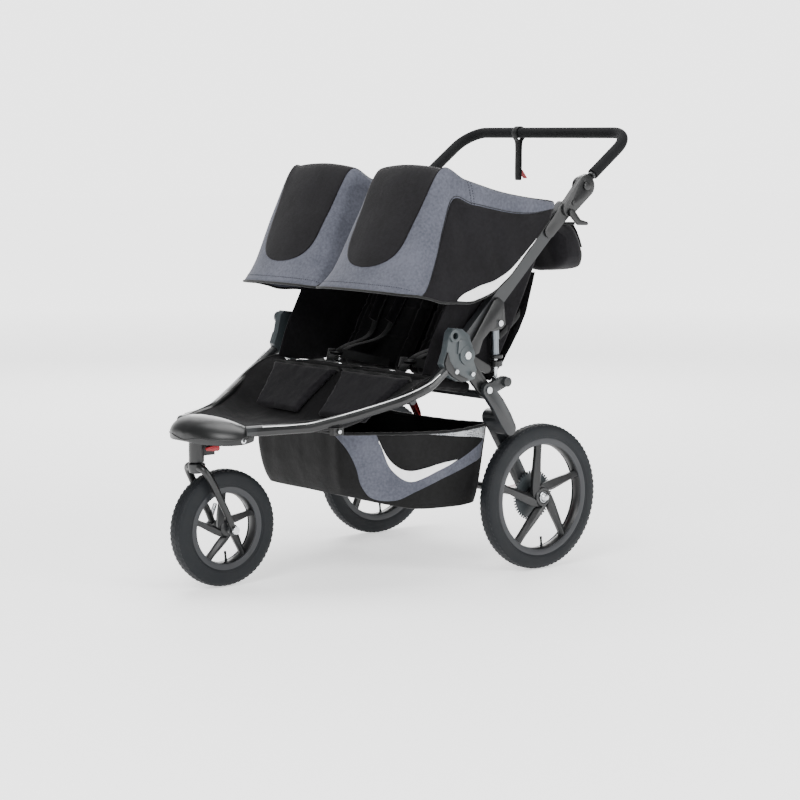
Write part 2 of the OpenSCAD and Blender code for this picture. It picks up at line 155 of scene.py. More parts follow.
def woven(name, light, dark, threadMm, slubMm, creaseMm, roughness=0.85, sheen=0.2, holes=None):
    # cloth: a lattice of threads that stands up the same on every face, with slubs and soft creases
    material, shader, place = startMaterial(name, roughness)
    shader.inputs["Specular IOR Level"].default_value = 0.12   # loose threads hardly shine
    threads = addNode(material, "TexVoronoi", {"Vector": place, "Scale": 1 / (threadMm * mm),
                                               "Randomness": 0.3})
    slubs = addNode(material, "TexNoise", {"Vector": place, "Scale": 1 / (slubMm * mm), "Detail": 3})
    clouds = addNode(material, "TexNoise", {"Vector": place, "Scale": 1 / 0.11, "Detail": 3})
    both = addNode(material, "Math", {0: slubs.outputs["Fac"], 1: clouds.outputs["Fac"]}, operation="ADD")
    tone = addNode(material, "MapRange", {0: both.outputs[0], 1: 0.75, 2: 1.25})
    colour = addNode(material, "Mix", {0: tone.outputs[0], 6: linear(dark), 7: linear(light)},
                     data_type="RGBA").outputs[2]
    if holes:
        gap = addNode(material, "MapRange", {0: threads.outputs["Distance"], 1: 0.3, 2: 0.42})
        colour = addNode(material, "Mix", {0: gap.outputs[0], 6: linear(holes), 7: colour},
                         data_type="RGBA").outputs[2]
    creases = addNode(material, "TexNoise", {"Vector": place, "Scale": 1 / (creaseMm * mm), "Detail": 3,
                                             "Distortion": 0.6})
    folds = addNode(material, "Bump", {"Height": creases.outputs["Fac"], "Distance": 0.003, "Strength": 0.5})
    weave = addNode(material, "Bump", {"Height": threads.outputs["Distance"], "Distance": threadMm * mm / 5,
                                       "Strength": 0.6, "Normal": folds.outputs[0]})
    shader.inputs["Sheen Weight"].default_value = sheen
    shader.inputs["Sheen Roughness"].default_value = 0.5
    material.node_tree.links.new(colour, shader.inputs["Base Color"])
    material.node_tree.links.new(weave.outputs[0], shader.inputs["Normal"])
    return material


# powder coat on steel tube: satin, with a faint orange peel of about 2 mm
powderCoat = patterned("powderCoatedSteel", "#0b0c0d", "#070808", 60, 2.2, 0.1, 0.33, ior=1.5, wear=0.25)
# the swing arms' powder coat is a lighter charcoal, and duller
armCoat = patterned("charcoalPowderCoat", "#15171a", "#0e1012", 60, 2.0, 0.12, 0.4, ior=1.5, wear=0.3)
# moulded polypropylene: satin black with a fine spark-eroded grain
polypropylene = patterned("mouldedPolypropylene", "#0c0d0e", "#08090a", 50, 1.0, 0.08, 0.36, ior=1.49)
# glass-filled nylon, moulded: duller, the fibres mottle it slightly
wheelNylon = patterned("glassFilledNylon", "#0e0f11", "#08090a", 25, 1.2, 0.12, 0.42, ior=1.53, wear=0.2)
# the same nylon in grey for the side hubs and the brake's toothed discs
greyNylon = patterned("greyGlassFilledNylon", "#343c3f", "#272d30", 30, 1.1, 0.12, 0.4, ior=1.53, wear=0.35)
# painted aluminium rim ring, a dark satin grey
ringPaint = patterned("paintedRimRing", "#1b1e23", "#15171b", 40, 1.5, 0.05, 0.36, ior=1.5)
# anodised aluminium tube of the shock: dull metal with a fine drawn grain
anodised = patterned("anodisedAluminium", "#7d8288", "#6b7076", 30, 0.8, 0.05, 0.35, 1.0)
# zinc-plated and turned steel: bright, with cloudy reflections
zincSteel = patterned("zincPlatedSteel", "#d5d7d9", "#b9bcc0", 14, 0.7, 0.04, 0.24, 1.0)
# vulcanised tyre rubber: blue-black, dry, with dust in the pores
tyreRubber = patterned("vulcanisedRubber", "#12161a", "#0b0d10", 35, 1.6, 0.25, 0.6, ior=1.52)
# closed-cell foam sleeve: dead matt, with its pores of 1 mm drawn at 3 mm so that they show
gripFoam = patterned("closedCellFoam", "#0f1012", "#08090a", 40, 3.0, 0.7, 0.82, ior=1.45)
# moulded red acetal
redAcetal = patterned("redAcetal", "#a81522", "#8a0f1a", 20, 1.0, 0.05, 0.32, ior=1.48)
# moulded black acetal of buckles and clips
blackAcetal = patterned("blackAcetal", "#0c0d0e", "#070808", 20, 1.0, 0.06, 0.38, ior=1.48)
# 600-denier polyester has threads of 0.4 mm, drawn at 2.5 mm so that the weave shows
greyPolyester = woven("heatherPolyester", "#565862", "#44464f", 2.5, 7, 60, sheen=0.1)
blackPolyester = woven("blackPolyester", "#141316", "#0c0b0d", 2.5, 9, 70, sheen=0.06)
basketPolyester = woven("coatedPolyester", "#121213", "#0a0a0a", 2.8, 12, 45, roughness=0.6, sheen=0.04)
seatPolyester = woven("seatPolyester", "#0d0c0e", "#060607", 2.5, 8, 40, sheen=0.05)
calfPolyester = woven("brushedPolyester", "#19181b", "#100f12", 2.5, 8, 50, sheen=0.1)
# warp-knitted mesh with holes of 2 mm, drawn at 5 mm
knitMesh = woven("warpKnitMesh", "#c3c5c8", "#9a9ca0", 5.0, 6, 40, roughness=0.5, holes="#1a1b1c")
# glass-bead reflective tape: white, slightly glossy, with a faint grid; the same white also draws the painted
# highlight along the seat rails
whiteTapeAndPaintedHighlight = woven("whiteTapeAndPaintedHighlight", "#fbfbfb", "#f0f1f2", 3.0, 20, 90, roughness=0.35, sheen=0.0)
# ribbed polyester webbing
webbing = woven("ribbedWebbing", "#0c0d0e", "#060707", 2.0, 5, 40, roughness=0.7)
redWebbing = woven("redWebbing", "#980a17", "#75060f", 2.0, 5, 40, roughness=0.7)
# paper-white matt floor
studioFloor = patterned("mattFloor", "#ffffff", "#fdfdfd", 900, 40, 0.01, 0.9)

world = bpy.data.worlds.new("studio")
world.use_nodes = True
bpy.context.scene.world = world
# soft grey all round with a wide white glow behind the stroller, as a lit paper backdrop gives
glow = {"towards": (-0.77, 0.62, -0.1), "round": 0.75, "full": 0.95, "room": 0.34, "paper": 3.2}
background = world.node_tree.nodes["Background"]
sky = addNode(world, "TexCoord")
facing = addNode(world, "VectorMath", {0: sky.outputs["Generated"], 1: Vector(glow["towards"]).normalized()},
                 operation="DOT_PRODUCT")
level = addNode(world, "MapRange", {0: facing.outputs["Value"], 1: glow["round"], 2: glow["full"], 3: glow["room"],
                                    4: glow["paper"]}, interpolation_type="SMOOTHSTEP")
world.node_tree.links.new(level.outputs[0], background.inputs["Strength"])
background.inputs["Color"].default_value = (1, 1, 1, 1)

floor = addToScene("floor", bpy.data.meshes.new("floor"))
floor.data.from_pydata([(-30, -30, 0), (30, -30, 0), (30, 30, 0), (-30, 30, 0)], [], [(0, 1, 2, 3)])
floor.data.materials.append(studioFloor)
floorShader = studioFloor.node_tree.nodes["Principled BSDF"]
floorShader.inputs["Emission Color"].default_value = (1, 1, 1, 1)
# the paper gets whiter away from the stroller, so that no horizon shows
distance = addNode(studioFloor, "VectorMath", {0: addNode(studioFloor, "TexCoord").outputs["Object"]},
                   operation="LENGTH")
whiteness = addNode(studioFloor, "MapRange", {0: distance.outputs["Value"], 1: 1.0, 2: 9.0, 3: 0.85, 4: 2.7})
studioFloor.node_tree.links.new(whiteness.outputs[0], floorShader.inputs["Emission Strength"])

print("tools")


def addMesh(name, points, faces, material, smooth=True, sharp=40):
    mesh = bpy.data.meshes.new(name)
    mesh.from_pydata([Vector(p) * mm for p in points], [], faces)
    shape = bmesh.new()
    shape.from_mesh(mesh)
    bmesh.ops.remove_doubles(shape, verts=shape.verts, dist=0.00004)
    shape.to_mesh(mesh)
    shape.free()
    mesh.materials.append(material)
    mesh.polygons.foreach_set("use_smooth", [smooth] * len(mesh.polygons))
    if sharp:
        mesh.set_sharp_from_angle(angle=math.radians(sharp))
    return addToScene(name, mesh)


def settle(piece):
    # turns the piece's modifiers into its mesh
    bpy.context.view_layer.update()
    shape = bpy.data.meshes.new_from_object(piece.evaluated_get(bpy.context.evaluated_depsgraph_get()))
    piece.modifiers.clear()
    piece.data = shape
    return piece


def modify(piece, kind, **settings):
    change = piece.modifiers.new(kind, kind)
    for name, value in settings.items():
        setattr(change, name, value)
    return settle(piece)


def lattice(name, rows, material, wrap=False, capped=False, sharp=40):
    n = len(rows[0])
    faces = []
    for i in range(len(rows) - 1):
        for j in range(n if wrap else n - 1):
            k = (j + 1) % n
            faces.append((i * n + j, i * n + k, (i + 1) * n + k, (i + 1) * n + j))
    if capped:
        faces.append(tuple(reversed(range(n))))
        faces.append(tuple(range((len(rows) - 1) * n, len(rows) * n)))
    return addMesh(name, [p for row in rows for p in row], faces, material, sharp=sharp)


def outward(piece):
    shape = bmesh.new()
    shape.from_mesh(piece.data)
    bmesh.ops.recalc_face_normals(shape, faces=shape.faces)
    shape.to_mesh(piece.data)
    shape.free()
    return piece


def mount(piece, body, slot, *stoodFor):
    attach(piece, body)
    if stoodFor:
        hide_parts(*stoodFor)
    return piece


def spread(first, last, count):
    return [first + (last - first) * i / (count - 1) for i in range(count)]


def ring(count):
    # angles round a full circle, the last one a step short of the first
    return spread(0, 2 * math.pi * (count - 1) / count, count)


def heading(path, i):
    return (Vector(path[min(i + 1, len(path) - 1)]) - Vector(path[max(i - 1, 0)])).normalized()


def shaded(piece, angle):
    # smooth faces with creases at edges sharper than the angle
    piece.data.polygons.foreach_set("use_smooth", [True] * len(piece.data.polygons))
    piece.data.set_sharp_from_angle(angle=math.radians(angle))
    return piece


def along(points, t):
    # a point on the smooth curve through a list, t counts from 0 at the first to n - 1 at the last
    n = len(points)
    i = min(int(t), n - 2)
    t -= i
    a, b, c, d = (Vector(points[min(max(i + k, 0), n - 1)]) for k in (-1, 0, 1, 2))
    return 0.5 * (2 * b + (c - a) * t + (2 * a - 5 * b + 4 * c - d) * t * t
                  + (3 * b - a - 3 * c + d) * t ** 3)


def curveThrough(points, count):
    return [along(points, t) for t in spread(0, len(points) - 1, count)]


def loopThrough(points, count):
    n = len(points)
    around = [points[(i - 1) % n] for i in range(n + 3)]
    return [along(around, 1 + n * i / count) for i in range(count)]


def sweep(name, path, radii, material, sides=10, up=(0, 0, 1), flat=1.0):
    # round or flattened bar along a path, one radius or one for each point
    rows = []
    for i, p in enumerate(path):
        way = heading(path, i)
        x = Vector(up).cross(way).normalized()
        y = way.cross(x)
        r = radii[i] if hasattr(radii, "__len__") else radii
        rows.append([Vector(p) + r * (math.cos(a) * x + flat * math.sin(a) * y) for a in ring(sides)])
    return outward(lattice(name, rows, material, wrap=True, capped=True))


def strap(name, path, width, thickness, across, material):
    # flat webbing along a path, across is the direction of its width
    rows = []
    side = Vector(across).normalized()
    for i, p in enumerate(path):
        out = side.cross(heading(path, i)).normalized()
        rows.append([Vector(p) + side * width / 2 * a + out * thickness / 2 * b
                     for a, b in ((-1, -0.7), (-0.94, -1), (0.94, -1), (1, -0.7), (1, 0.7), (0.94, 1),
                                  (-0.94, 1), (-1, 0.7))])
    return outward(lattice(name, rows, material, wrap=True, capped=True, sharp=60))


def turned(name, profile, centre, axis, material, steps=48, sharp=35, capped=True):
    # lathe work: profile points are (distance along the axis, radius)
    axis = Vector(axis).normalized()
    x = axis.orthogonal().normalized()
    y = axis.cross(x)
    rows = [[Vector(centre) + axis * h + r * (math.cos(a) * x + math.sin(a) * y)
             for a in ring(steps)] for h, r in profile]
    return outward(lattice(name, rows, material, wrap=True, capped=capped, sharp=sharp))


def plate(name, outline, x0, x1, material, bevel=1.5):
    # side-view outline, y and z, from x0 to x1, with rounded edges
    n = len(outline)
    points = [(x, y, z) for x in (x0, x1) for y, z in outline]
    faces = [tuple(range(n)), tuple(reversed(range(n, 2 * n)))]
    faces += [(i, i + n, (i + 1) % n + n, (i + 1) % n) for i in range(n)]
    piece = outward(addMesh(name, points, faces, material, smooth=False, sharp=0))
    modify(piece, "BEVEL", width=bevel * mm, segments=3, limit_method="ANGLE",
           angle_limit=math.radians(30))
    return shaded(piece, 35)


def crumple(piece, depthMm, sizeMm, seed=0.0):
    # presses soft wrinkles into a cloth's own mesh
    mesh = piece.data
    normals = [v.normal.copy() for v in mesh.vertices]
    for vertex, normal in zip(mesh.vertices, normals):
        spot = vertex.co / (sizeMm * mm) + Vector((seed, seed, seed))
        vertex.co += normal * depthMm * mm * (noise.noise(spot) + 0.5 * noise.noise(spot * 2.3))
    return piece


def mirrored(points, s):
    return [(p[0] * s, p[1], p[2]) for p in points]


def softened(node, material, width=1.2):
    # the CAD shape again, with its edges rounded as a moulding or casting has them
    body = [b for b, members in frame["record"]["behaviour"]["bodies"].items() if node in members][0]
    slot = [s["material_slot"] for s in frame["record"]["subparts"] if s["node"] == node][0]
    shape = bmesh.new()
    shape.from_mesh(nodes[node].data)
    bmesh.ops.remove_doubles(shape, verts=shape.verts, dist=0.00002)
    bmesh.ops.dissolve_limit(shape, angle_limit=math.radians(1.5), verts=shape.verts, edges=shape.edges)
    mesh = bpy.data.meshes.new(node + "_shell")
    shape.to_mesh(mesh)
    shape.free()
    mesh.materials.clear()
    mesh.materials.append(material)
    piece = addToScene(node + "_shell", mesh)
    modify(piece, "BEVEL", width=width * mm, segments=2, limit_method="ANGLE",
           angle_limit=math.radians(35), loop_slide=False)
    return mount(shaded(piece, 40), body, slot, node)


def puff(piece, capMm, voxelMm=6, pressure=4.0, steps=20):
    # air pressure fills a sewn pad, each point moves capMm at most
    modify(piece, "REMESH", mode="VOXEL", voxel_size=voxelMm * mm)
    rest = [v.co.copy() for v in piece.data.vertices]
    cloth = piece.modifiers.new("cloth", "CLOTH").settings
    cloth.quality = 4
    cloth.use_pressure = True
    cloth.uniform_pressure_force = pressure
    cloth.effector_weights.gravity = 0
    for step in range(1, steps + 1):
        bpy.context.scene.frame_set(step)
    settle(piece)
    for vertex, start in zip(piece.data.vertices, rest):
        shift = vertex.co - start
        if shift.length > capMm * mm:
            vertex.co = start + shift * (capMm * mm / shift.length)
    bpy.context.scene.frame_set(1)
    return piece


def twin(piece, name):
    # the mirror image of a piece, for the other side
    copy = addToScene(name, piece.data.copy())
    for vertex in copy.data.vertices:
        vertex.co.x = -vertex.co.x
    copy.data.flip_normals()
    return copy


def stitchRow(name, path, material, pitchMm=7.0, lengthMm=4.5, radius=0.7):
    # separate stitches along a path
    points, faces, walked, last = [], [], 0.0, Vector(path[0])
    for p in path[1:]:
        p = Vector(p)
        way = p - last
        while walked + 0.001 < way.length:
            start = last + way.normalized() * walked
            tip = start + way.normalized() * lengthMm
            x = way.normalized().orthogonal().normalized() * radius
            y = way.normalized().cross(x)
            n = len(points)
            for end, scale in ((start, 0.4), (start.lerp(tip, 0.5), 1.3), (tip, 0.4)):
                points += [end + x * scale, end + y * scale, end - x * scale, end - y * scale]
            for ring in (0, 4):
                faces += [(n + ring + k, n + ring + (k + 1) % 4, n + ring + 4 + (k + 1) % 4, n + ring + 4 + k)
                          for k in range(4)]
            faces += [(n, n + 3, n + 2, n + 1), (n + 8, n + 9, n + 10, n + 11)]
            walked += pitchMm
        walked -= way.length
        last = p
    return addMesh(name, points, faces, material)


print("canopies")
# Arches from the hem to the rear edge. Each runs from the outer lower edge over the outer fold and the
# top to the inner fold and the inner lower edge: outer edge 0, outer fold 2, middle 4, inner fold 6, inner edge 8.
canopy = {
    "arches": [
        [(353, -140, 766), (351, -160, 768), (339, -193, 772), (290, -214, 776), (180, -222, 778),
         (70, -216, 777), (22, -206, 774), (8, -200, 773), (4, -196, 772)],
        [(356, -100, 757), (354, -118, 795), (344, -148, 826), (290, -174, 834), (185, -187, 837),
         (80, -176, 834), (30, -158, 828), (14, -146, 812), (7, -136, 800)],
        [(357, -60, 746), (355, -74, 860), (338, -92, 958), (288, -106, 966), (188, -114, 970),
         (86, -106, 966), (44, -92, 958), (24, -80, 915), (8, -60, 880)],
        [(357, -10, 743), (354, -14, 920), (332, -26, 1074), (296, -34, 1087), (190, -40, 1095),
         (82, -34, 1087), (52, -26, 1074), (34, -18, 1020), (14, -10, 960)],
        [(356, 60, 744), (354, 58, 900), (344, 48, 1044), (308, 42, 1060), (190, 40, 1066),
         (74, 42, 1060), (40, 48, 1044), (24, 56, 1012), (8, 60, 985)],
        [(355, 165, 793), (354, 168, 900), (349, 172, 1012), (315, 174, 1025), (190, 176, 1029),
         (65, 174, 1025), (24, 172, 1012), (12, 170, 1000), (6, 168, 985)],
        [(352, 330, 956), (352, 338, 975), (350, 346, 992), (325, 350, 1001), (190, 352, 1004),
         (50, 350, 1001), (14, 346, 992), (8, 344, 985), (6, 342, 978)],
    ],
    "seam": [0.0, 0.30, 0.52, 0.74, 0.80, 0.80, 0.66],   # top seam of the black side, share of the side's height
    "cloth": 1.6,
    "panel": 1.0,
    "wrinkle": 3.0,
}


def onForm(arches, i, j):
    return along([along(arch, i) for arch in arches], j)


def canopyPoint(i, j, lift=0.0):
    p = onForm(canopy["arches"], i, j)
    e = 0.05
    i0, i1 = max(i - e, 0), min(i + e, 8)
    j0, j1 = max(j - e, 0), min(j + e, 6)
    a = onForm(canopy["arches"], i1, j) - onForm(canopy["arches"], i0, j)
    b = onForm(canopy["arches"], i, j1) - onForm(canopy["arches"], i, j0)
    normal = b.cross(a)
    normal = normal.normalized() if normal.length > 1e-6 else Vector((1, 0, 0))
    loose = canopy["wrinkle"] * min(1, max(0, 2.2 - i)) * (1 if j > 1 else max(0, j))
    spot = Vector((p.y / 45 + p.z / 130, p.z / 160, 3.1))
    return p + normal * (lift + loose * noise.noise(spot) + 0.8 * noise.noise(p / 70))


def seamAt(j):
    return 2 * along([(share, 0, 0) for share in canopy["seam"]], j).x


def canopyPatch(name, js, low, high, columns, lift, material, s):
    rows = []
    for j in js:
        rows.append(mirrored([canopyPoint(i, j, lift) for i in spread(low(j), high(j), columns)], s))
    return outward(lattice(name, rows, material, sharp=60))


def windowHalf(j):
    # half width of the black window panel, rounded at its lower end
    wide = 0.98 + 0.5 * min(1, max(0, (j - 1.05) / 1.6))
    rounding = min(1, max(0, (j - 0.98) / 0.62))
    return wide * math.sqrt(1 - (1 - rounding) ** 2)


def crescentTop(j):
    return 0.27 * max(0, math.sin(math.pi * (j - 3.05) / 2.62)) ** 0.7


def facingOut(piece, probe):
    # turns a sheet's faces so that its normals point away from a probe point inside
    total = sum(((f.center - Vector(probe) * mm).dot(f.normal)) * f.area for f in piece.data.polygons)
    if total < 0:
        piece.data.flip_normals()
    return piece


for side, s in sides:
    heart = (180 * s, 60, 850)
    hood = lattice("canopyCloth_" + side, [mirrored([canopyPoint(i, j) for i in spread(0, 8, 65)], s)
                                           for j in spread(0, 6, 61)], greyPolyester, sharp=60)
    facingOut(hood, heart)
    modify(hood, "SOLIDIFY", thickness=canopy["cloth"] * mm, offset=-1)
    window = canopyPatch("canopyWindow_" + side, [0.98 + 5.0 * t ** 1.3 for t in spread(0, 1, 64)],
                         lambda j: 4 - windowHalf(j), lambda j: 4 + windowHalf(j), 25, 0.5, blackPolyester, s)
    sidePanel = canopyPatch("canopySide_" + side, spread(0.04, 5.99, 60), lambda j: 0.02,
                            lambda j: max(seamAt(j), 0.021), 20, 0.5, blackPolyester, s)
    crescent = canopyPatch("canopyReflector_" + side, spread(3.06, 5.66, 40), lambda j: 0.05,
                           lambda j: 0.05 + crescentTop(j), 7, 1.6, whiteTapeAndPaintedHighlight, s)
    for panel in (window, sidePanel, crescent):
        facingOut(panel, heart)
        modify(panel, "SOLIDIFY", thickness=canopy["panel"] * mm, offset=1)
    # binding round the whole lower edge, then the double row of stitches above the hem and at the crest
    edge = [canopyPoint(0, j) for j in spread(5.95, 0, 40)] + [canopyPoint(i, 0) for i in spread(0.2, 7.8, 40)]
    edge += [canopyPoint(8, j) for j in spread(0, 5.95, 30)]
    binding = sweep("canopyBinding_" + side, mirrored(edge, s), 3.4, webbing, sides=8, up=(0.1, 0.2, 1))
    hems = []
    for n, (j, lift) in enumerate(((0.42, 0.3), (3.95, 0.3), (4.05, 0.3))):
        hems.append(stitchRow("canopyStitches%d_%s" % (n, side),
                              mirrored([canopyPoint(i, j, lift) for i in spread(1.3, 7.4, 60)], s), blackPolyester))
    seamPath = [canopyPoint(max(seamAt(j), 0.02) + 0.03, j, 0.8) for j in spread(0.1, 5.9, 70)]
    hems.append(sweep("canopySeam_" + side, mirrored(seamPath, s), 0.9, webbing, sides=6, up=(0.1, 0.9, 0.1)))
    for piece in [hood, window, sidePanel, crescent, binding] + hems:
        mount(piece, "canopy_" + side, "canopy_fabric")
        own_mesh(piece)
    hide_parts("canopy_" + side)

print("basket")
# Rings from the rim down to the floor's edge, each from the middle of the front round to the middle of the rear
basket = {
    "rings": [
        [(0, -263, 400), (120, -263, 401), (196, -256, 402), (243, -182, 401), (284, -100, 399), (291, 40, 394),
         (291, 146, 401), (268, 167, 402), (150, 169, 396), (0, 169, 393)],
        [(0, -258, 310), (118, -257, 310), (190, -247, 308), (240, -166, 304), (281, -84, 298), (290, 40, 296),
         (288, 128, 300), (266, 150, 302), (150, 153, 300), (0, 153, 298)],
        [(0, -240, 240), (114, -240, 240), (178, -230, 240), (230, -150, 220), (273, -70, 208), (285, 40, 204),
         (282, 114, 206), (260, 134, 208), (150, 137, 204), (0, 137, 202)],
        [(0, -222, 229), (108, -222, 228), (162, -212, 226), (212, -140, 206), (255, -62, 190), (268, 40, 186),
         (264, 102, 188), (244, 120, 190), (150, 124, 187), (0, 124, 186)],
        [(0, -130, 206), (70, -130, 206), (110, -122, 205), (140, -80, 196), (160, -20, 187), (165, 20, 184),
         (160, 50, 185), (145, 62, 186), (90, 66, 184), (0, 66, 183)],
        [(0, -30, 187), (4, -30, 187), (8, -28, 187), (10, -20, 187), (12, -10, 186), (12, -4, 186),
         (10, 2, 186), (8, 4, 186), (4, 5, 186), (0, 5, 186)],
    ],
    "middle": (0, -40, 300),
    "cloth": 1.8,
    "panel": 1.0,
}


def basketPoint(k, h, lift=0.0):
    p = onForm(basket["rings"], k, h)
    centre = Vector(basket["middle"])
    way = Vector((p.x - centre.x, p.y - centre.y, 0)).normalized() if h < 3 else Vector((0, 0, -1))
    spot = Vector((k * 1.4, h * 0.9, 7.7))
    pocket = max(0, 1 - h / 1.2) * max(0, min(1, k - 3)) * max(0, min(1, 6.6 - k))
    return p + way * (lift + 3.0 * noise.noise(spot) + 1.2 * noise.noise(p / 38)
                      + 5.0 * pocket * h * noise.noise(Vector((p.y / 13, p.z / 90, 1.7))))


def basketRing(h, count):
    # all round the basket at one depth, the right half mirrors the left
    half = [basketPoint(k, h) for k in spread(0, 9, count)]
    return half + [Vector((-p.x, p.y, p.z)) for p in reversed(half[1:-1])]


rows = [basketRing(h, 73) for h in spread(0, 5, 56)]
tub = lattice("basketCloth", rows, basketPolyester, wrap=True, sharp=60)
facingOut(tub, basket["middle"])
modify(tub, "SOLIDIFY", thickness=basket["cloth"] * mm, offset=-1)


def basketPanel(name, rows, material):
    piece = facingOut(lattice(name, rows, material, sharp=60), basket["middle"])
    return modify(piece, "SOLIDIFY", thickness=basket["panel"] * mm, offset=1)


def onFlat(points, t):
    return along([p + (0,) for p in points], t).xy


# panel edges as (place round the basket, depth below the rim)
swoosh = {
    "outer": [(1.4, 0.02), (2.0, 0.42), (2.3, 0.9), (2.42, 1.55), (2.72, 2.05), (3.3, 1.95), (4.0, 1.55), (5.0, 1.15),
              (6.15, 0.85)],
    "inner": [(2.95, 0.02), (3.08, 0.5), (3.25, 0.95), (3.55, 1.22), (3.85, 1.3), (4.2, 1.2), (4.7, 0.98),
              (5.3, 0.76), (6.15, 0.42)],
    "white": [(3.0, 0.3), (3.2, 0.66), (3.4, 0.86), (3.65, 0.98), (3.95, 1.0), (4.3, 0.93), (4.6, 0.86), (4.85, 0.82),
              (5.1, 0.8)],
}


def basketBand(name, one, two, steps, across, lift, material, s):
    # a panel of the basket's side between two edges
    rows = []
    for t in spread(0, 8, steps):
        a, b = onFlat(one, t), onFlat(two, t)
        rows.append(mirrored([basketPoint(*a.lerp(b, u), lift) for u in spread(0, 1, across)], s))
    return basketPanel(name, rows, material)


meshReach = (4.3, 6.2)     # where the pale mesh starts and ends round the basket
basketParts = []
for side, s in sides:
    basketParts.append(basketBand("basketSwoosh_" + side, swoosh["inner"], swoosh["outer"], 90, 22, 0.6,
                                  greyPolyester, s))
    whiteLow = [tuple(onFlat(swoosh["inner"], t)) for t in spread(0.55, 6.0, 9)]
    basketParts.append(basketBand("basketReflector_" + side, swoosh["white"], whiteLow, 60, 8, 1.8,
                                  whiteTapeAndPaintedHighlight, s))
    meshRows = []
    for k in spread(*meshReach, 30):
        deep = 0.05 + 0.4 * (k - meshReach[0]) / 1.9
        meshRows.append(mirrored([basketPoint(k, h, 0.6) for h in spread(0.03, deep, 6)], s))
    basketParts.append(basketPanel("basketMesh_" + side, meshRows, knitMesh))
rim = basketRing(0, 90)
rim.append(rim[0])
gathers = [4.2 + 0.5 * math.sin(i * 1.9) for i in range(len(rim))]
basketParts.append(sweep("basketRim", rim, gathers, webbing, sides=10))
mount(tub, "chassis", "basket_fabric", "basket")
for piece in basketParts:
    mount(piece, "chassis", "basket_fabric")

print("seats")
seatMiddle = 160     # across, from the stroller's middle to each seat's
backrest = {"foot": (112, 540), "head": (300, 872), "thick": 34, "inner": 7, "outer": 311}
backWay = (Vector(backrest["head"]) - Vector(backrest["foot"])).normalized()
backOut = Vector((backWay.y, -backWay.x))     # from the seat's face to its rear
backLong = (Vector(backrest["head"]) - Vector(backrest["foot"])).length


def onBack(x, b, c):
    # x across, b up along the backrest, c from its face (0) to its rear
    p = Vector(backrest["foot"]) + backWay * b + backOut * c
    return Vector((x, p.x, p.y))


def slab(name, place, us, vs, thickness, material, shrink=5):
    # closed pad over a grid: place(u, v, c) gives a point, c goes through the thickness
    n, m = 25, 29
    across = spread(us[0] + shrink, us[1] - shrink, n)
    upward = spread(vs[0] + shrink, vs[1] - shrink, m)
    points = [place(u, v, shrink + 2 * bulge(u, us) * bulge(v, vs)) for v in upward for u in across]
    points += [place(u, v, thickness - shrink) for v in upward for u in across]
    faces = []
    for layer in (0, n * m):
        for i in range(m - 1):
            for j in range(n - 1):
                a = layer + i * n + j
                faces.append((a, a + 1, a + n + 1, a + n) if layer else (a, a + n, a + n + 1, a + 1))
    rimLoop = list(range(n)) + [i * n + n - 1 for i in range(1, m)]
    rimLoop += [(m - 1) * n + j for j in range(n - 2, -1, -1)] + [i * n for i in range(m - 2, 0, -1)]
    for a, b in zip(rimLoop, rimLoop[1:] + rimLoop[:1]):
        faces.append((a, b, b + n * m, a + n * m))
    return outward(addMesh(name, points, faces, material))


def bulge(u, limits):
    t = (u - limits[0]) / (limits[1] - limits[0])
    return 4 * t * (1 - t)


def channels(piece, gauge, lines, depthMm, widthMm, face):
    # sewn channels: gauge(point) is the distance along the pad, face(point) is 1 on the face and 0 at the rear
    mesh = piece.data
    normals = [v.normal.copy() for v in mesh.vertices]
    for vertex, normal in zip(mesh.vertices, normals):
        p = vertex.co / mm
        dip = sum(math.exp(-((gauge(p) - line) / widthMm) ** 2) for line in lines)
        vertex.co -= normal * depthMm * mm * min(1, dip) * face(p)
    return piece


def upBack(p):
    return (Vector((p.y, p.z)) - Vector(backrest["foot"])).dot(backWay)


def backFace(p):
    return 1 if (Vector((p.y, p.z)) - Vector(backrest["foot"])).dot(backOut) < 14 else 0


backPad = slab("backPad_left", onBack, (backrest["inner"], backrest["outer"]), (-22, backLong),
               backrest["thick"], seatPolyester)
puff(backPad, 7)
channels(backPad, upBack, (90, 180, 270), 4, 5, backFace)
channels(backPad, lambda p: abs(p.x - seatMiddle), (112,), 4, 5, backFace)
crumple(backPad, 1.6, 42, 2.0)
modify(backPad, "SUBSURF", levels=1)
for side, s in sides:
    pad = backPad if s > 0 else twin(backPad, "backPad_right")
    mount(pad, "backrest_" + side, "seat_fabric", "backrest_" + side)

seatShape = {"inner": 6, "outer": 314, "front": (-106, 549), "rear": (100, 521), "thick": 30}
seatWay = (Vector(seatShape["rear"]) - Vector(seatShape["front"])).normalized()
seatDown = Vector((seatWay.y, -seatWay.x))
seatLong = (Vector(seatShape["rear"]) - Vector(seatShape["front"])).length


def onSeat(x, b, c):
    p = Vector(seatShape["front"]) + seatWay * b + seatDown * (c - 5 * bulge(b, (0, seatLong)))
    return Vector((x, p.x, p.y))


seatPad = slab("seatPad_left", onSeat, (seatShape["inner"], seatShape["outer"]), (0, seatLong),
               seatShape["thick"], seatPolyester)
puff(seatPad, 8)
channels(seatPad, lambda p: p.y, (-50, 20), 4, 5, lambda p: 1 if p.z > 530 else 0)
crumple(seatPad, 1.4, 40, 5.0)
modify(seatPad, "SUBSURF", levels=1)
for side, s in sides:
    pad = seatPad if s > 0 else twin(seatPad, "seatPad_right")
    mount(pad, "chassis", "seat_fabric", "seat_cushion_" + side)

# calf pads: from the seats' front edge down to the footwell, narrower below
calf = {"top": (-110, 549), "bottom": (-234, 434), "innerTop": 8, "outerTop": 302, "innerLow": 44, "outerLow": 246,
        "wide": 290, "long": 169, "thick": 16}


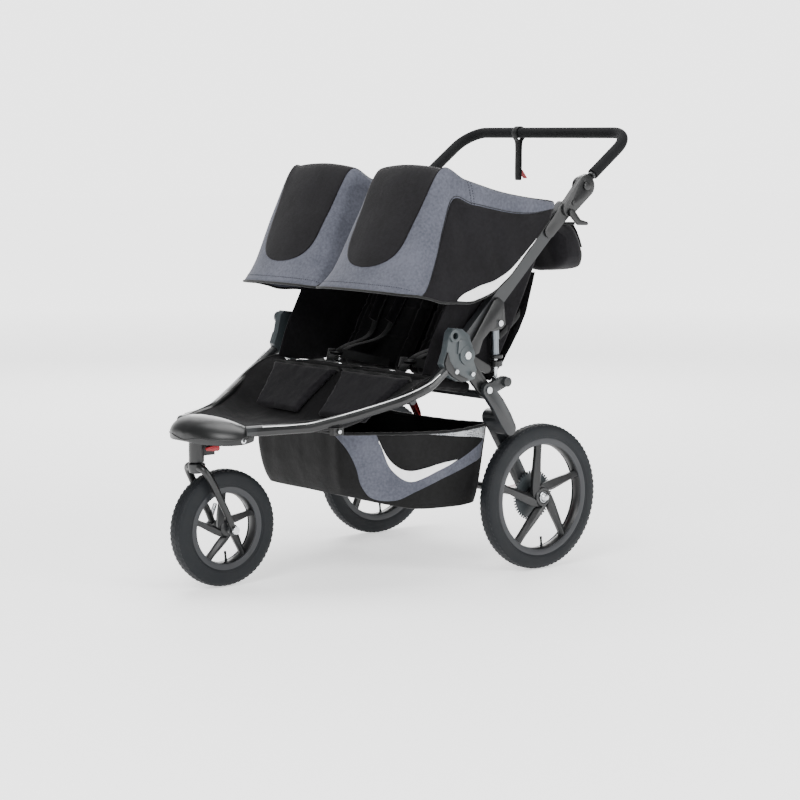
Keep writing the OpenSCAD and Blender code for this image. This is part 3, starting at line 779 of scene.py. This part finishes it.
def onCalf(across, v, c):
    u, t = across / calf["wide"], v / calf["long"]
    x = (calf["innerTop"] * (1 - t) + calf["innerLow"] * t) * (1 - u) \
        + (calf["outerTop"] * (1 - t) + calf["outerLow"] * t) * u
    y = calf["top"][0] * (1 - t) + calf["bottom"][0] * t
    z = calf["top"][1] * (1 - t) + calf["bottom"][1] * t
    return Vector((x, y - 0.68 * (8 - c), z + 0.73 * (8 - c) - 6 * t * t))


calfPad = slab("calfPad_left", onCalf, (0, calf["wide"]), (0, calf["long"]), calf["thick"], calfPolyester,
               shrink=3)
puff(calfPad, 6, voxelMm=5)
crumple(calfPad, 1.2, 38, 9.0)
modify(calfPad, "SUBSURF", levels=1)
calfPads = [calfPad, twin(calfPad, "calfPad_right")]
for piece in calfPads:
    mount(piece, "chassis", "seat_fabric")
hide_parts("calf_panel")

print("wheels")
# out is the outer side, hub its radius and depth its length to the blades' ridge
rear = {"radius": 200, "width": 46, "seat": 157, "hub": 26, "depth": 19, "blade": 19, "blocks": 80}
wheels = [
    {"name": "left", "body": "rear_wheel_left", "at": (351, 292, 200), "out": 1, **rear},
    {"name": "right", "body": "rear_wheel_right", "at": (-351, 292, 200), "out": -1, **rear},
    {"name": "front", "body": "front_wheel", "at": (0, -509, 156), "out": 1, "radius": 156, "width": 52,
     "seat": 107, "hub": 22, "depth": 20, "blade": 15, "blocks": 64},
]


def treadBlocks(name, wheel, depthMm):
    # four rows of blocks, two on the crown and one on each shoulder
    points, faces, count = [], [], wheel["blocks"]
    cx, cy, cz = wheel["at"]
    half = wheel["width"] / 2
    for row, (x, wide, drop, arc) in enumerate(((-0.66, 6.5, 3.6, 0.60), (-0.22, 7.5, 0.6, 0.56),
                                                (0.22, 7.5, 0.6, 0.56), (0.66, 6.5, 3.6, 0.60))):
        for i in range(count):
            mid = 2 * math.pi * (i + (0.5 if row % 2 else 0)) / count
            span = 2 * math.pi / count * arc
            n = len(points)
            for lift, shrink in ((-depthMm - 2.5, 1.0), (0, 0.86)):
                for a, b in ((-1, -1), (1, -1), (1, 1), (-1, 1)):
                    slant = 0.15 * span * (1 if b > 0 else -1) * (1 if x > 0 else -1)
                    angle = mid + a * span / 2 * shrink + slant
                    px = x * half + b * wide / 2 * shrink
                    r = wheel["radius"] - 0.3 - drop + lift - (0.02 * (px - x * half) ** 2)
                    points.append((cx + px, cy + r * math.cos(angle), cz + r * math.sin(angle)))
            faces += [(n + 4, n + 5, n + 6, n + 7), (n + 3, n + 2, n + 1, n)]
            faces += [(n + k, n + (k + 1) % 4, n + 4 + (k + 1) % 4, n + 4 + k) for k in range(4)]
    return outward(addMesh(name, points, faces, tyreRubber, smooth=False))


def spokes(name, wheel, hubR, rimR, hubDepth, rimDepth):
    # five ridged blades leaning the same way, open triangles between
    points, faces = [], []
    cx, cy, cz = wheel["at"]
    out = wheel["out"]
    for i in range(5):
        start = 2 * math.pi * i / 5 + 0.35
        rows = []
        for t in spread(0, 1, 9):
            far = Vector((rimR * math.cos(start), rimR * math.sin(start)))
            near = Vector((hubR * math.cos(start + out * 1.0), hubR * math.sin(start + out * 1.0)))
            spot = near.lerp(far, t)
            r, angle = spot.length, math.atan2(spot.y, spot.x)
            wide = (1 - 0.62 * t) * wheel["blade"] + 22 * max(0, t - 0.82)
            front = hubDepth * (1 - t) + rimDepth * t
            section = [(-wide, front - 5), (-wide * 0.35, front + 3.5), (wide, front - 4), (wide * 0.8, front - 17),
                       (-wide * 0.8, front - 17)]
            row = []
            for across, depth in section:
                y = r * math.cos(angle) - across * math.sin(angle)
                z = r * math.sin(angle) + across * math.cos(angle)
                row.append((cx + out * depth, cy + y, cz + z))
            rows.append(row)
        n = len(points)
        for row in rows:
            points += row
        for a in range(8):
            for k in range(5):
                faces.append((n + a * 5 + k, n + a * 5 + (k + 1) % 5, n + a * 5 + 5 + (k + 1) % 5, n + a * 5 + 5 + k))
        faces += [tuple(n + k for k in range(5)), tuple(n + 40 + 4 - k for k in range(5))]
    piece = outward(addMesh(name, points, faces, wheelNylon, sharp=35))
    return modify(piece, "BEVEL", width=0.8 * mm, segments=2, limit_method="ANGLE", angle_limit=math.radians(25))


def onAxle(part, wheel, profile, material, steps=128, capped=False):
    return turned(part + "_" + wheel["name"], profile, wheel["at"], (1, 0, 0), material, steps=steps, capped=capped)


for wheel in wheels:
    name, at, R, w, seat, out = (wheel[k] for k in ("name", "at", "radius", "width", "seat", "out"))
    h = w / 2
    casing = onAxle("casing", wheel, [
        (-h * 0.62, seat - 3), (-h * 0.80, seat + 1), (-h * 0.90, seat + 6), (-h * 0.93, seat + 8.5),
        (-h * 0.97, seat + 9), (-h * 0.99, seat + 13), (-h, seat + 20), (-h * 0.98, R - 17), (-h * 0.9, R - 9),
        (-h * 0.72, R - 4.6), (-h * 0.4, R - 2.2), (0, R - 1.6), (h * 0.4, R - 2.2), (h * 0.72, R - 4.6),
        (h * 0.9, R - 9), (h * 0.98, R - 17), (h, seat + 20), (h * 0.99, seat + 13), (h * 0.97, seat + 9),
        (h * 0.93, seat + 8.5), (h * 0.90, seat + 6), (h * 0.80, seat + 1), (h * 0.62, seat - 3)], tyreRubber)
    tread = treadBlocks("tread_" + name, wheel, 1.2)
    barrel = onAxle("rimBarrel", wheel, [
        (-h * 0.70, seat - 9), (-h * 0.78, seat - 7), (-h * 0.80, seat + 1.5), (-h * 0.60, seat + 1.5),
        (0, seat - 2), (h * 0.60, seat + 1.5), (h * 0.80, seat + 1.5), (h * 0.78, seat - 7), (h * 0.70, seat - 9),
        (h * 0.35, seat - 15), (0, seat - 16), (-h * 0.35, seat - 15), (-h * 0.70, seat - 9)], wheelNylon)
    rings = []
    for n, face in enumerate((1, -1)):
        rings.append(onAxle("rimRing%d" % n, wheel, [
            (face * h * 0.72, seat - 13), (face * (h * 0.72 + 1.6), seat - 12), (face * (h * 0.80 + 1.4), seat - 3),
            (face * (h * 0.80 + 1.0), seat + 3.4), (face * h * 0.80, seat + 3.6), (face * h * 0.62, seat - 2),
            (face * h * 0.62, seat - 12), (face * h * 0.72, seat - 13)], ringPaint))
    blades = spokes("spokes_" + name, wheel, wheel["hub"] - 4, seat - 12, wheel["depth"], h * 0.55)
    if name == "front":
        shape = [(-29, 6.2), (-29, 12), (-20, 19), (-8, 22), (8, 22), (20, 22), (24, 20), (29, 12), (29, 6.2),
                 (-29, 6.2)]
    else:
        shape = [(-24, 6.6), (-24, 20), (-12, 24), (0, 27), (12, 27), (21, 26), (24, 24), (24, 19), (22, 18),
                 (22, 6.6), (-24, 6.6)]
    hub = onAxle("hub", wheel, [(out * a, r) for a, r in shape], wheelNylon, steps=64)
    # valve at the lowest spoke gap, pointing to the axle
    angle = math.radians(-84)
    x, y, z = at
    foot = Vector((x, y + (seat - 16) * math.cos(angle), z + (seat - 16) * math.sin(angle)))
    way = Vector((0, -math.cos(angle), -math.sin(angle)))
    stem = [foot] + [foot + way * far for far in (8, 8.4, 20, 20.4, 27)]
    valve = sweep("valve_" + name, stem, [4, 3.4, 3.0, 3.0, 3.4, 3.2], tyreRubber, sides=14, up=(1, 0, 0))
    parts = [casing, tread, barrel, blades, hub, valve] + rings
    if name != "front":
        teeth = []
        for i in range(48):
            a0 = 2 * math.pi * i / 48
            for part, r in ((0, 62), (0.15, 69), (0.45, 69), (0.6, 62)):
                a = a0 + part * 2 * math.pi / 48
                teeth.append((r * math.cos(a), r * math.sin(a)))
        rows = []
        for depthX, scale in ((-23.8, 0.42), (-23.8, 1.0), (-20.2, 1.0), (-20.2, 0.42), (-23.8, 0.42)):
            rows.append([(x + out * depthX, y + a * scale, z + b * scale) for a, b in teeth])
        disc = outward(lattice("brakeDisc_" + name, rows, greyNylon, wrap=True, sharp=35))
        cap = onAxle("axleCap", wheel, [(out * a, r) for a, r in (
            (18, 6.4), (24, 15), (25, 15), (25.6, 13.5), (26.2, 13.3), (29, 12), (34, 9.5), (36.5, 7), (37.2, 3),
            (37.2, 0.2))], zincSteel, steps=48, capped=True)
        parts += [disc, cap]
    for piece in parts:
        mount(piece, wheel["body"], "tyre_rubber" if piece in (casing, tread, valve) else "wheel_plastic")
    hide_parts("front_tyre" if name == "front" else "rear_tyre_" + name)
    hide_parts("front_rim" if name == "front" else "rear_rim_" + name)

print("fabric")
# leg area: one cloth from rail to rail, sagging to the footwell; each row is middle, quarter, near the rail, rail
footwell = {"rows": [
    [(0, -60, 526), (150, -60, 526), (296, -56, 532), (345, -58, 556)],
    [(0, -104, 536), (150, -104, 536), (290, -104, 540), (350, -112, 546)],
    [(0, -150, 496), (150, -150, 496), (280, -160, 500), (345, -176, 516)],
    [(0, -196, 454), (150, -196, 454), (262, -206, 466), (322, -226, 494)],
    [(0, -242, 418), (136, -242, 418), (238, -256, 432), (290, -278, 476)],
    [(0, -310, 407), (116, -312, 408), (196, -322, 418), (250, -344, 455)],
    [(0, -390, 406), (92, -392, 407), (156, -398, 416), (205, -424, 444)],
    [(0, -470, 412), (76, -472, 413), (128, -476, 420), (164, -492, 438)],
    [(0, -512, 424), (70, -514, 425), (112, -518, 428), (146, -522, 434)]]}


def footwellPoint(u, v):
    p = along([along(r, u) for r in footwell["rows"]], v)
    crease = noise.noise(Vector((p.x / 55, p.y / 40, 1))) + 0.4 * noise.noise(Vector((p.x / 20, p.y / 16, 5)))
    return p + Vector((0, 0, 2.6 * crease * (1 - (u / 3) ** 6)))


rows = []
for v in spread(0, 8, 81):
    rows.append([mirrored([footwellPoint(abs(u), v)], 1 if u > 0 else -1)[0] for u in spread(-3, 3, 91)])
foot = lattice("footwellCloth", rows, seatPolyester, sharp=60)
modify(foot, "SOLIDIFY", thickness=2.4 * mm, offset=0)
mount(foot, "chassis", "seat_fabric", "footwell")
for s in (1, -1):
    path = mirrored([footwellPoint(3, v) + Vector((1, 0, 1)) for v in spread(0, 8, 80)], s)
    mount(sweep("footwellEdge_%d" % s, path, 3.4, webbing, sides=8), "chassis", "seat_fabric")

# side wings between the seat frame, the rail and the canopy, loose and creased
wing = {"rows": [
    [(317, -92, 556), (318, 20, 540), (319, 150, 545)], [(317, -62, 640), (318, 70, 640), (319, 210, 650)],
    [(318, -10, 740), (319, 110, 745), (319, 262, 748)], [(318, 20, 815), (319, 140, 836), (319, 316, 862)]]}
for side, s in sides:
    rows = []
    for v in spread(0, 3, 37):
        row = []
        for u in spread(0, 2, 29):
            p = along([along(r, u) for r in wing["rows"]], v)
            slack = math.sin(math.pi * u / 2) * math.sin(math.pi * v / 3)
            fold = noise.noise(Vector((p.y / 28, p.z / 95, 4))) + 0.5 * noise.noise(Vector((p.y / 12, p.z / 40, 9)))
            row.append(p + Vector((-6 * slack - 5 * fold * slack ** 0.5, 0, 0)))
        rows.append(mirrored(row, s))
    cloth = facingOut(lattice("sideWing_" + side, rows, blackPolyester, sharp=60), (0, 100, 720))
    modify(cloth, "SOLIDIFY", thickness=1.8 * mm, offset=0)
    mount(cloth, "upper_frame", "seat_fabric", "side_wing_" + side)
    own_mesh(cloth)

# pouch behind the seats, hung between the handle's tubes
pouch = {"outline": [(400, 930), (440, 934), (477, 935), (500, 905), (518, 868), (527, 838), (520, 814), (503, 808),
                     (468, 808), (432, 813), (420, 850), (410, 890)], "half": 300}
rows = []
for turn in spread(-math.pi / 2, math.pi / 2, 81):
    x = pouch["half"] * math.sin(turn)
    end = abs(x) / pouch["half"]
    narrow = math.sqrt(1 - 0.8 * max(0, (end - 0.86) / 0.14) ** 2)
    row = []
    for k in range(48):
        p = along(pouch["outline"] + pouch["outline"][:1], k / 4)
        y, z = 465 + (p.x - 465) * narrow, 870 + (p.y - 870) * narrow
        low = max(0, (890 - z) / 80)
        z -= 5 * low * math.cos(3 * math.pi * x / pouch["half"]) + 3 * low * noise.noise(Vector((x / 50, z / 40, 2)))
        y += 4 * noise.noise(Vector((x / 60, z / 35, 6)))
        row.append((x, y, z))
    rows.append(row)
bag = outward(lattice("rearPouch", rows, blackPolyester, wrap=True, capped=True, sharp=50))
flap = [[(x, y + 3.4, z) for y, z in ((478, 937), (496, 912), (507, 890), (516, 868))]
        for x in spread(-280, 280, 41)]
cover = lattice("pouchCover", flap, blackPolyester, sharp=60)
modify(cover, "SOLIDIFY", thickness=2 * mm, offset=0)
mount(bag, "upper_frame", "seat_fabric", "rear_pouch")
mount(cover, "upper_frame", "seat_fabric")
pouchEdge = mount(sweep("pouchMouth", [(x, 440 + 36 * abs(x / 300) ** 12, 936) for x in spread(-298, 298, 60)], 4,
                        webbing, sides=8, up=(0, 0, 1)), "upper_frame", "seat_fabric")

print("straps")
# harness: two shoulder straps with pads, a waist strap and a crotch strap meeting at the buckle, per seat
harness = {"shoulders": (116, 204), "buckle": (seatMiddle, -2, 572), "width": 24, "thick": 1.6}
for side, s in sides:
    parts = []
    bx, by, bz = harness["buckle"]
    width, thick = harness["width"], harness["thick"]
    for n, x in enumerate(harness["shoulders"]):
        inward = seatMiddle - x
        run = [onBack(x, 300, -3), onBack(x, 240, -6), onBack(x + inward * 0.1, 150, -9),
               onBack(x + inward * 0.35, 75, -16), (x + inward * 0.7, 40, 590), (bx - inward * 0.3, by + 6, bz + 2)]
        parts.append(strap("shoulderStrap%d_%s" % (n, side), mirrored(curveThrough(run, 60), s), width, thick,
                           (1, 0, 0), webbing))
        cover = [onBack(x, 262, -7), onBack(x, 200, -11), onBack(x + inward * 0.12, 120, -14)]
        pad = sweep("shoulderPad%d_%s" % (n, side), mirrored(curveThrough(cover, 30), s), 21, blackPolyester,
                    sides=20, up=(1, 0, 0), flat=0.30)
        parts.append(pad)
        waist = [(x - inward * 1.6, 92, 548), (x - inward * 1.3, 50, 556), (x - inward * 0.4, 12, 568),
                 (bx - inward * 0.3, by, bz)]
        parts.append(strap("waistStrap%d_%s" % (n, side), mirrored(curveThrough(waist, 40), s), width, thick,
                           (0, 0.3, 1), webbing))
    crotch = [(bx, -30, 552), (bx, -26, 560), (bx, by - 4, bz - 2)]
    parts.append(strap("crotchStrap_" + side, mirrored(curveThrough(crotch, 20), s), 30, 1.8, (1, 0, 0), webbing))
    buckle = lattice("harnessBuckle_" + side, [mirrored([
        (bx + w * math.cos(a), by + w * 0.8 * math.sin(a) - d * 0.5, bz + d) for a in ring(24)], s)
        for w, d in ((14, -5), (21, -4), (24, 0), (24, 3), (21, 6), (12, 7.5), (11, 6.5), (3, 6.5))],
        blackAcetal, wrap=True, capped=True, sharp=40)
    parts.append(outward(buckle))
    for piece in parts:
        if "shoulderStrap" in piece.name:
            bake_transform(piece)
        elif "shoulderPad" in piece.name:
            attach(piece, "backrest_" + side)
        else:
            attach(piece, "chassis")
    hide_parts("harness_" + side)

print("small parts")
# front nose cap: a duck-bill moulding, wide at the rear and rounded at the tip
nose = {"stations": [(-508, 146, 402, 438), (-520, 156, 398, 446), (-545, 152, 393, 455), (-570, 138, 391, 455),
                     (-595, 114, 391, 448), (-614, 84, 392, 438), (-626, 48, 394, 426), (-630, 10, 397, 416)],
        "band": 15}


def noseRidge(t):
    # place along the nose, half width, underside and height of the ridge above its lower band
    y, half, low = along([station[:3] for station in nose["stations"]], t)
    return y, half, low, low + nose["band"] * min(1, half / 60)


def noseRow(t):
    y, half, low, base = noseRidge(t)
    top = along([(station[3], 0, 0) for station in nose["stations"]], t).x
    row = []
    for a in spread(0, math.pi, 41):
        x = half * math.copysign(abs(math.cos(a)) ** 0.72, math.cos(a))
        row.append((x, y, base + (top - base) * math.sin(a) ** 1.15))
    return row + [(half * a, y, low + b) for a, b in ((-0.985, 2), (-0.95, 0), (0.95, 0), (0.985, 2))]


cap = outward(lattice("noseShell", [noseRow(t) for t in spread(0, 7, 71)], polypropylene, wrap=True, capped=True,
                      sharp=50))
mount(cap, "chassis", "black_plastic", "nose_cap")
edge = [(half, y, base) for y, half, low, base in map(noseRidge, spread(0.3, 7, 60))]
edge += [(-x, y, z) for x, y, z in reversed(edge)]
mount(sweep("noseRidge", edge, 1.8, polypropylene, sides=10), "chassis", "black_plastic")
for s in (1, -1):
    mount(turned("noseBolt_%d" % s, [(0, 7), (2, 7), (3.2, 5.6), (3.2, 3.4), (1.6, 3), (1.6, 0.3)],
                 (s * 149, -545, 404), (s, -0.2, 0), zincSteel, steps=32), "chassis", "black_plastic")

# fork: two round legs bowed round the wheel, a crown and dropouts
forkParts = []
for s in (1, -1):
    leg = curveThrough([(s * 20, -594, 326), (s * 38, -590, 318), (s * 46, -574, 290), (s * 47, -548, 240),
                        (s * 46, -524, 196), (s * 45.5, -509, 160)], 50)
    forkParts.append(sweep("forkLeg_%d" % s, leg, [11 - 2.5 * t for t in spread(0, 1, 50)], powderCoat, sides=20,
                           up=(1, 0, 0)))
    forkParts.append(turned("forkDropout_%d" % s,
                            [(-5, 5.2), (-5, 13), (-3.6, 15), (3.6, 15), (5, 13), (5, 5.2), (-5, 5.2)],
                            (s * 45, -509, 156), (1, 0, 0), powderCoat, steps=40, capped=False))
crown = turned("forkCrown", [(-14, 14), (-12, 19), (4, 23), (10, 23), (13, 20), (15, 13), (70, 12), (72, 10)],
               (0, -589, 322), (0, 0, 1), powderCoat, steps=48)
forkParts.append(crown)
for piece in forkParts:
    mount(piece, "front_fork", "frame_tube")
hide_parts("front_fork")

# CAD shapes kept with rounded edges: each with its finish and the width of its rounding
rounded = {
    "side_hub_left": (greyNylon, 2.0), "side_hub_right": (greyNylon, 2.0),
    "link_plate_left": (polypropylene, 1.5), "link_plate_right": (polypropylene, 1.5),
    "swing_arm_left": (armCoat, 2.0), "swing_arm_right": (armCoat, 2.0),
    "top_hub_left": (polypropylene, 1.6), "top_hub_right": (polypropylene, 1.6),
    "handle_knuckles": (polypropylene, 1.6), "release_lever_left": (blackAcetal, 0.8),
    "release_lever_right": (blackAcetal, 0.8), "head_bracket": (polypropylene, 1.2),
    "brake_pedal": (redAcetal, 1.2), "swivel_lock_knob": (redAcetal, 0.8), "quick_release": (zincSteel, 0.8),
}
for node, (material, width) in rounded.items():
    softened(node, material, width)

# hub castings: dark front lip, screws and socket ring
for side, s in sides:
    lipLine = [(-61, 619), (-72, 590), (-67, 573), (-45, 553), (-15, 537), (10, 543), (-18, 556), (-39, 574),
               (-55, 596)]
    a, b = sorted((s * 372, s * 387))
    mount(plate("hubLip_" + side, lipLine, a, b, polypropylene, bevel=1.5), "chassis", "cast_grey")
    for n, (y, z) in enumerate(((6, 606), (24, 556), (-32, 566))):
        mount(turned("hubScrew%d_%s" % (n, side),
                     [(-2, 6.5), (0.6, 6.5), (1.6, 5.4), (1.6, 2.8), (0.2, 2.6), (0.2, 0.2)],
                     (s * 387, y, z), (s, 0, 0), zincSteel, steps=32), "chassis", "bright_steel")
    mount(turned("socketRing_" + side, [(-2, 9.3), (1.4, 9.3), (1.4, 14), (0.6, 15.5), (-2, 15.5)],
                 (s * 386, -38, 660), (s, 0, 0), polypropylene, capped=False), "chassis", "cast_grey")

# painted highlight: a thin white line along each seat rail, from the footwell to the hubs, where the rail's highlight
# falls
railPath = [(170, -500, 443), (226, -390, 449), (285, -290, 477), (345, -188, 512), (372, -120, 542), (379, -84, 566)]
for side, s in sides:
    path = mirrored(curveThrough([(x + 7, y - 5, z - 3) for x, y, z in railPath], 60), s)
    mount(sweep("railHighlightLine_" + side, path, 1.3, whiteTapeAndPaintedHighlight, sides=8), "chassis", "seat_fabric")
    # rear frame's shock: dark lower collar and a ribbed seal
    low, top = Vector((s * 340, 150, 526)), Vector((s * 340, 145, 681))
    for n, (place, radius, long) in enumerate(((0.30, 15.5, 8), (0.42, 16.5, 5))):
        centre = low.lerp(top, place)
        way = (top - low).normalized()
        collar = [(-long, radius - 2), (-long + 1.5, radius), (long - 1.5, radius), (long, radius - 2)]
        mount(turned("shockCollar%d_%s" % (n, side), collar, centre, way, polypropylene, steps=40),
              "shock_body_" + side, "shock_grey")

# wrist strap: a loop of webbing round the bar, given by its middle, with a red tag
barY = 649.5
wristLoop = loopThrough([(-125, barY, 1202.5), (-124, barY + 13, 1197), (-123, barY + 18.5, 1184),
                         (-123, barY + 12, 1168), (-123, barY + 3, 1150), (-124, barY + 3, 1080),
                         (-125, barY + 2.4, 1050), (-126, barY, 1046), (-127, barY - 2.4, 1050),
                         (-127, barY - 3, 1080), (-127, barY - 3, 1150), (-126, barY - 12, 1168),
                         (-126, barY - 18.5, 1184), (-125, barY - 13, 1197)], 112)
loop = strap("wristLoop", wristLoop + wristLoop[:2], 20, 1.8, (1, 0, 0), webbing)
tag = addMesh("wristTag", [(x, barY + y, z) for x in (-131, -115)
                           for y, z in ((4, 1074), (6, 1076), (26, 1052), (24, 1050))],
              [(0, 1, 2, 3), (7, 6, 5, 4), (0, 4, 5, 1), (1, 5, 6, 2), (2, 6, 7, 3), (3, 7, 4, 0)], redWebbing)
mount(loop, "wrist_strap", "webbing", "wrist_strap")
mount(tag, "wrist_strap", "webbing")

# loose rear cover of the seats, gathered where it hangs
for side, s in sides:
    rows = []
    for b in spread(4, 330, 56):
        row = []
        for x in spread(4, 316, 49):
            belly = math.sin(math.pi * min(1, max(0, (b - 4) / 326)))
            fold = noise.noise(Vector((x / 26, b / 90, 3))) + 0.6 * noise.noise(Vector((x / 11, b / 40, 8)))
            row.append(onBack(x, b, 38 + 26 * belly + 7 * fold * belly ** 0.5))
        rows.append(mirrored(row, s))
    shell = facingOut(lattice("seatShell_" + side, rows, blackPolyester, sharp=60), (160 * s, 150, 700))
    modify(shell, "SOLIDIFY", thickness=1.6 * mm, offset=0)
    mount(shell, "backrest_" + side, "seat_fabric")

# red strap at the rear that pulls the frame shut
foldRun = curveThrough([(0, 122, 480), (0, 136, 455), (0, 156, 415), (0, 160, 401), (0, 152, 404), (0, 128, 445),
                        (0, 116, 470)], 60)
fold = strap("foldPull", foldRun, 24, 2.0, (1, 0, 0), redWebbing)
mount(fold, "chassis", "red_webbing", "fold_strap")
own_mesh(fold)

# recline straps from the backrests to the seat frame
for side, s in sides:
    run = [tuple(onBack(290, 210, 36)), (306, 262, 700), (318, 210, 664), (324, 172, 640)]
    line = strap("reclineStrap_" + side, mirrored(curveThrough(run, 40), s), 18, 1.6, (0, 0, 1), webbing)
    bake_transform(line)
    # webbing band across the seat's front edge
    band = [(8 + 294 * i / 20, -114 - 2 * math.sin(i), 545) for i in range(21)]
    mount(strap("seatBand_" + side, mirrored(band, s), 14, 2.0, (0, -0.5, 0.8), webbing), "chassis", "seat_fabric")

# a screw in each plastic bracket of the basket
low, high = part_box("frame_bolts")
for side, s in sides:
    mount(turned("bracketScrew_" + side, [(-1, 5.5), (1.2, 5.5), (2.2, 4.4), (2.2, 2.6), (0.8, 2.4), (0.8, 0.3)],
                 (s * high[0] / mm, (low[1] + high[1]) / 2 / mm, (low[2] + high[2]) / 2 / mm), (s, 0, 0), zincSteel,
                 steps=32), "chassis", "bright_steel")

print("finish")
finishes = {
    "frame_tube": powderCoat, "black_plastic": polypropylene, "cast_grey": armCoat, "swing_arm": armCoat,
    "bright_steel": zincSteel, "shock_grey": anodised, "seat_fabric": blackPolyester, "canopy_fabric": greyPolyester,
    "basket_fabric": basketPolyester, "webbing": webbing, "red_webbing": redWebbing, "grip_foam": gripFoam,
    "tyre_rubber": tyreRubber, "wheel_plastic": wheelNylon, "red_plastic": redAcetal,
}
for entry in frame["record"]["subparts"]:
    data = nodes[entry["node"]].data
    data.materials.clear()
    data.materials.append(blackAcetal if entry["node"] == "frame_bolts" else finishes[entry["material_slot"]])
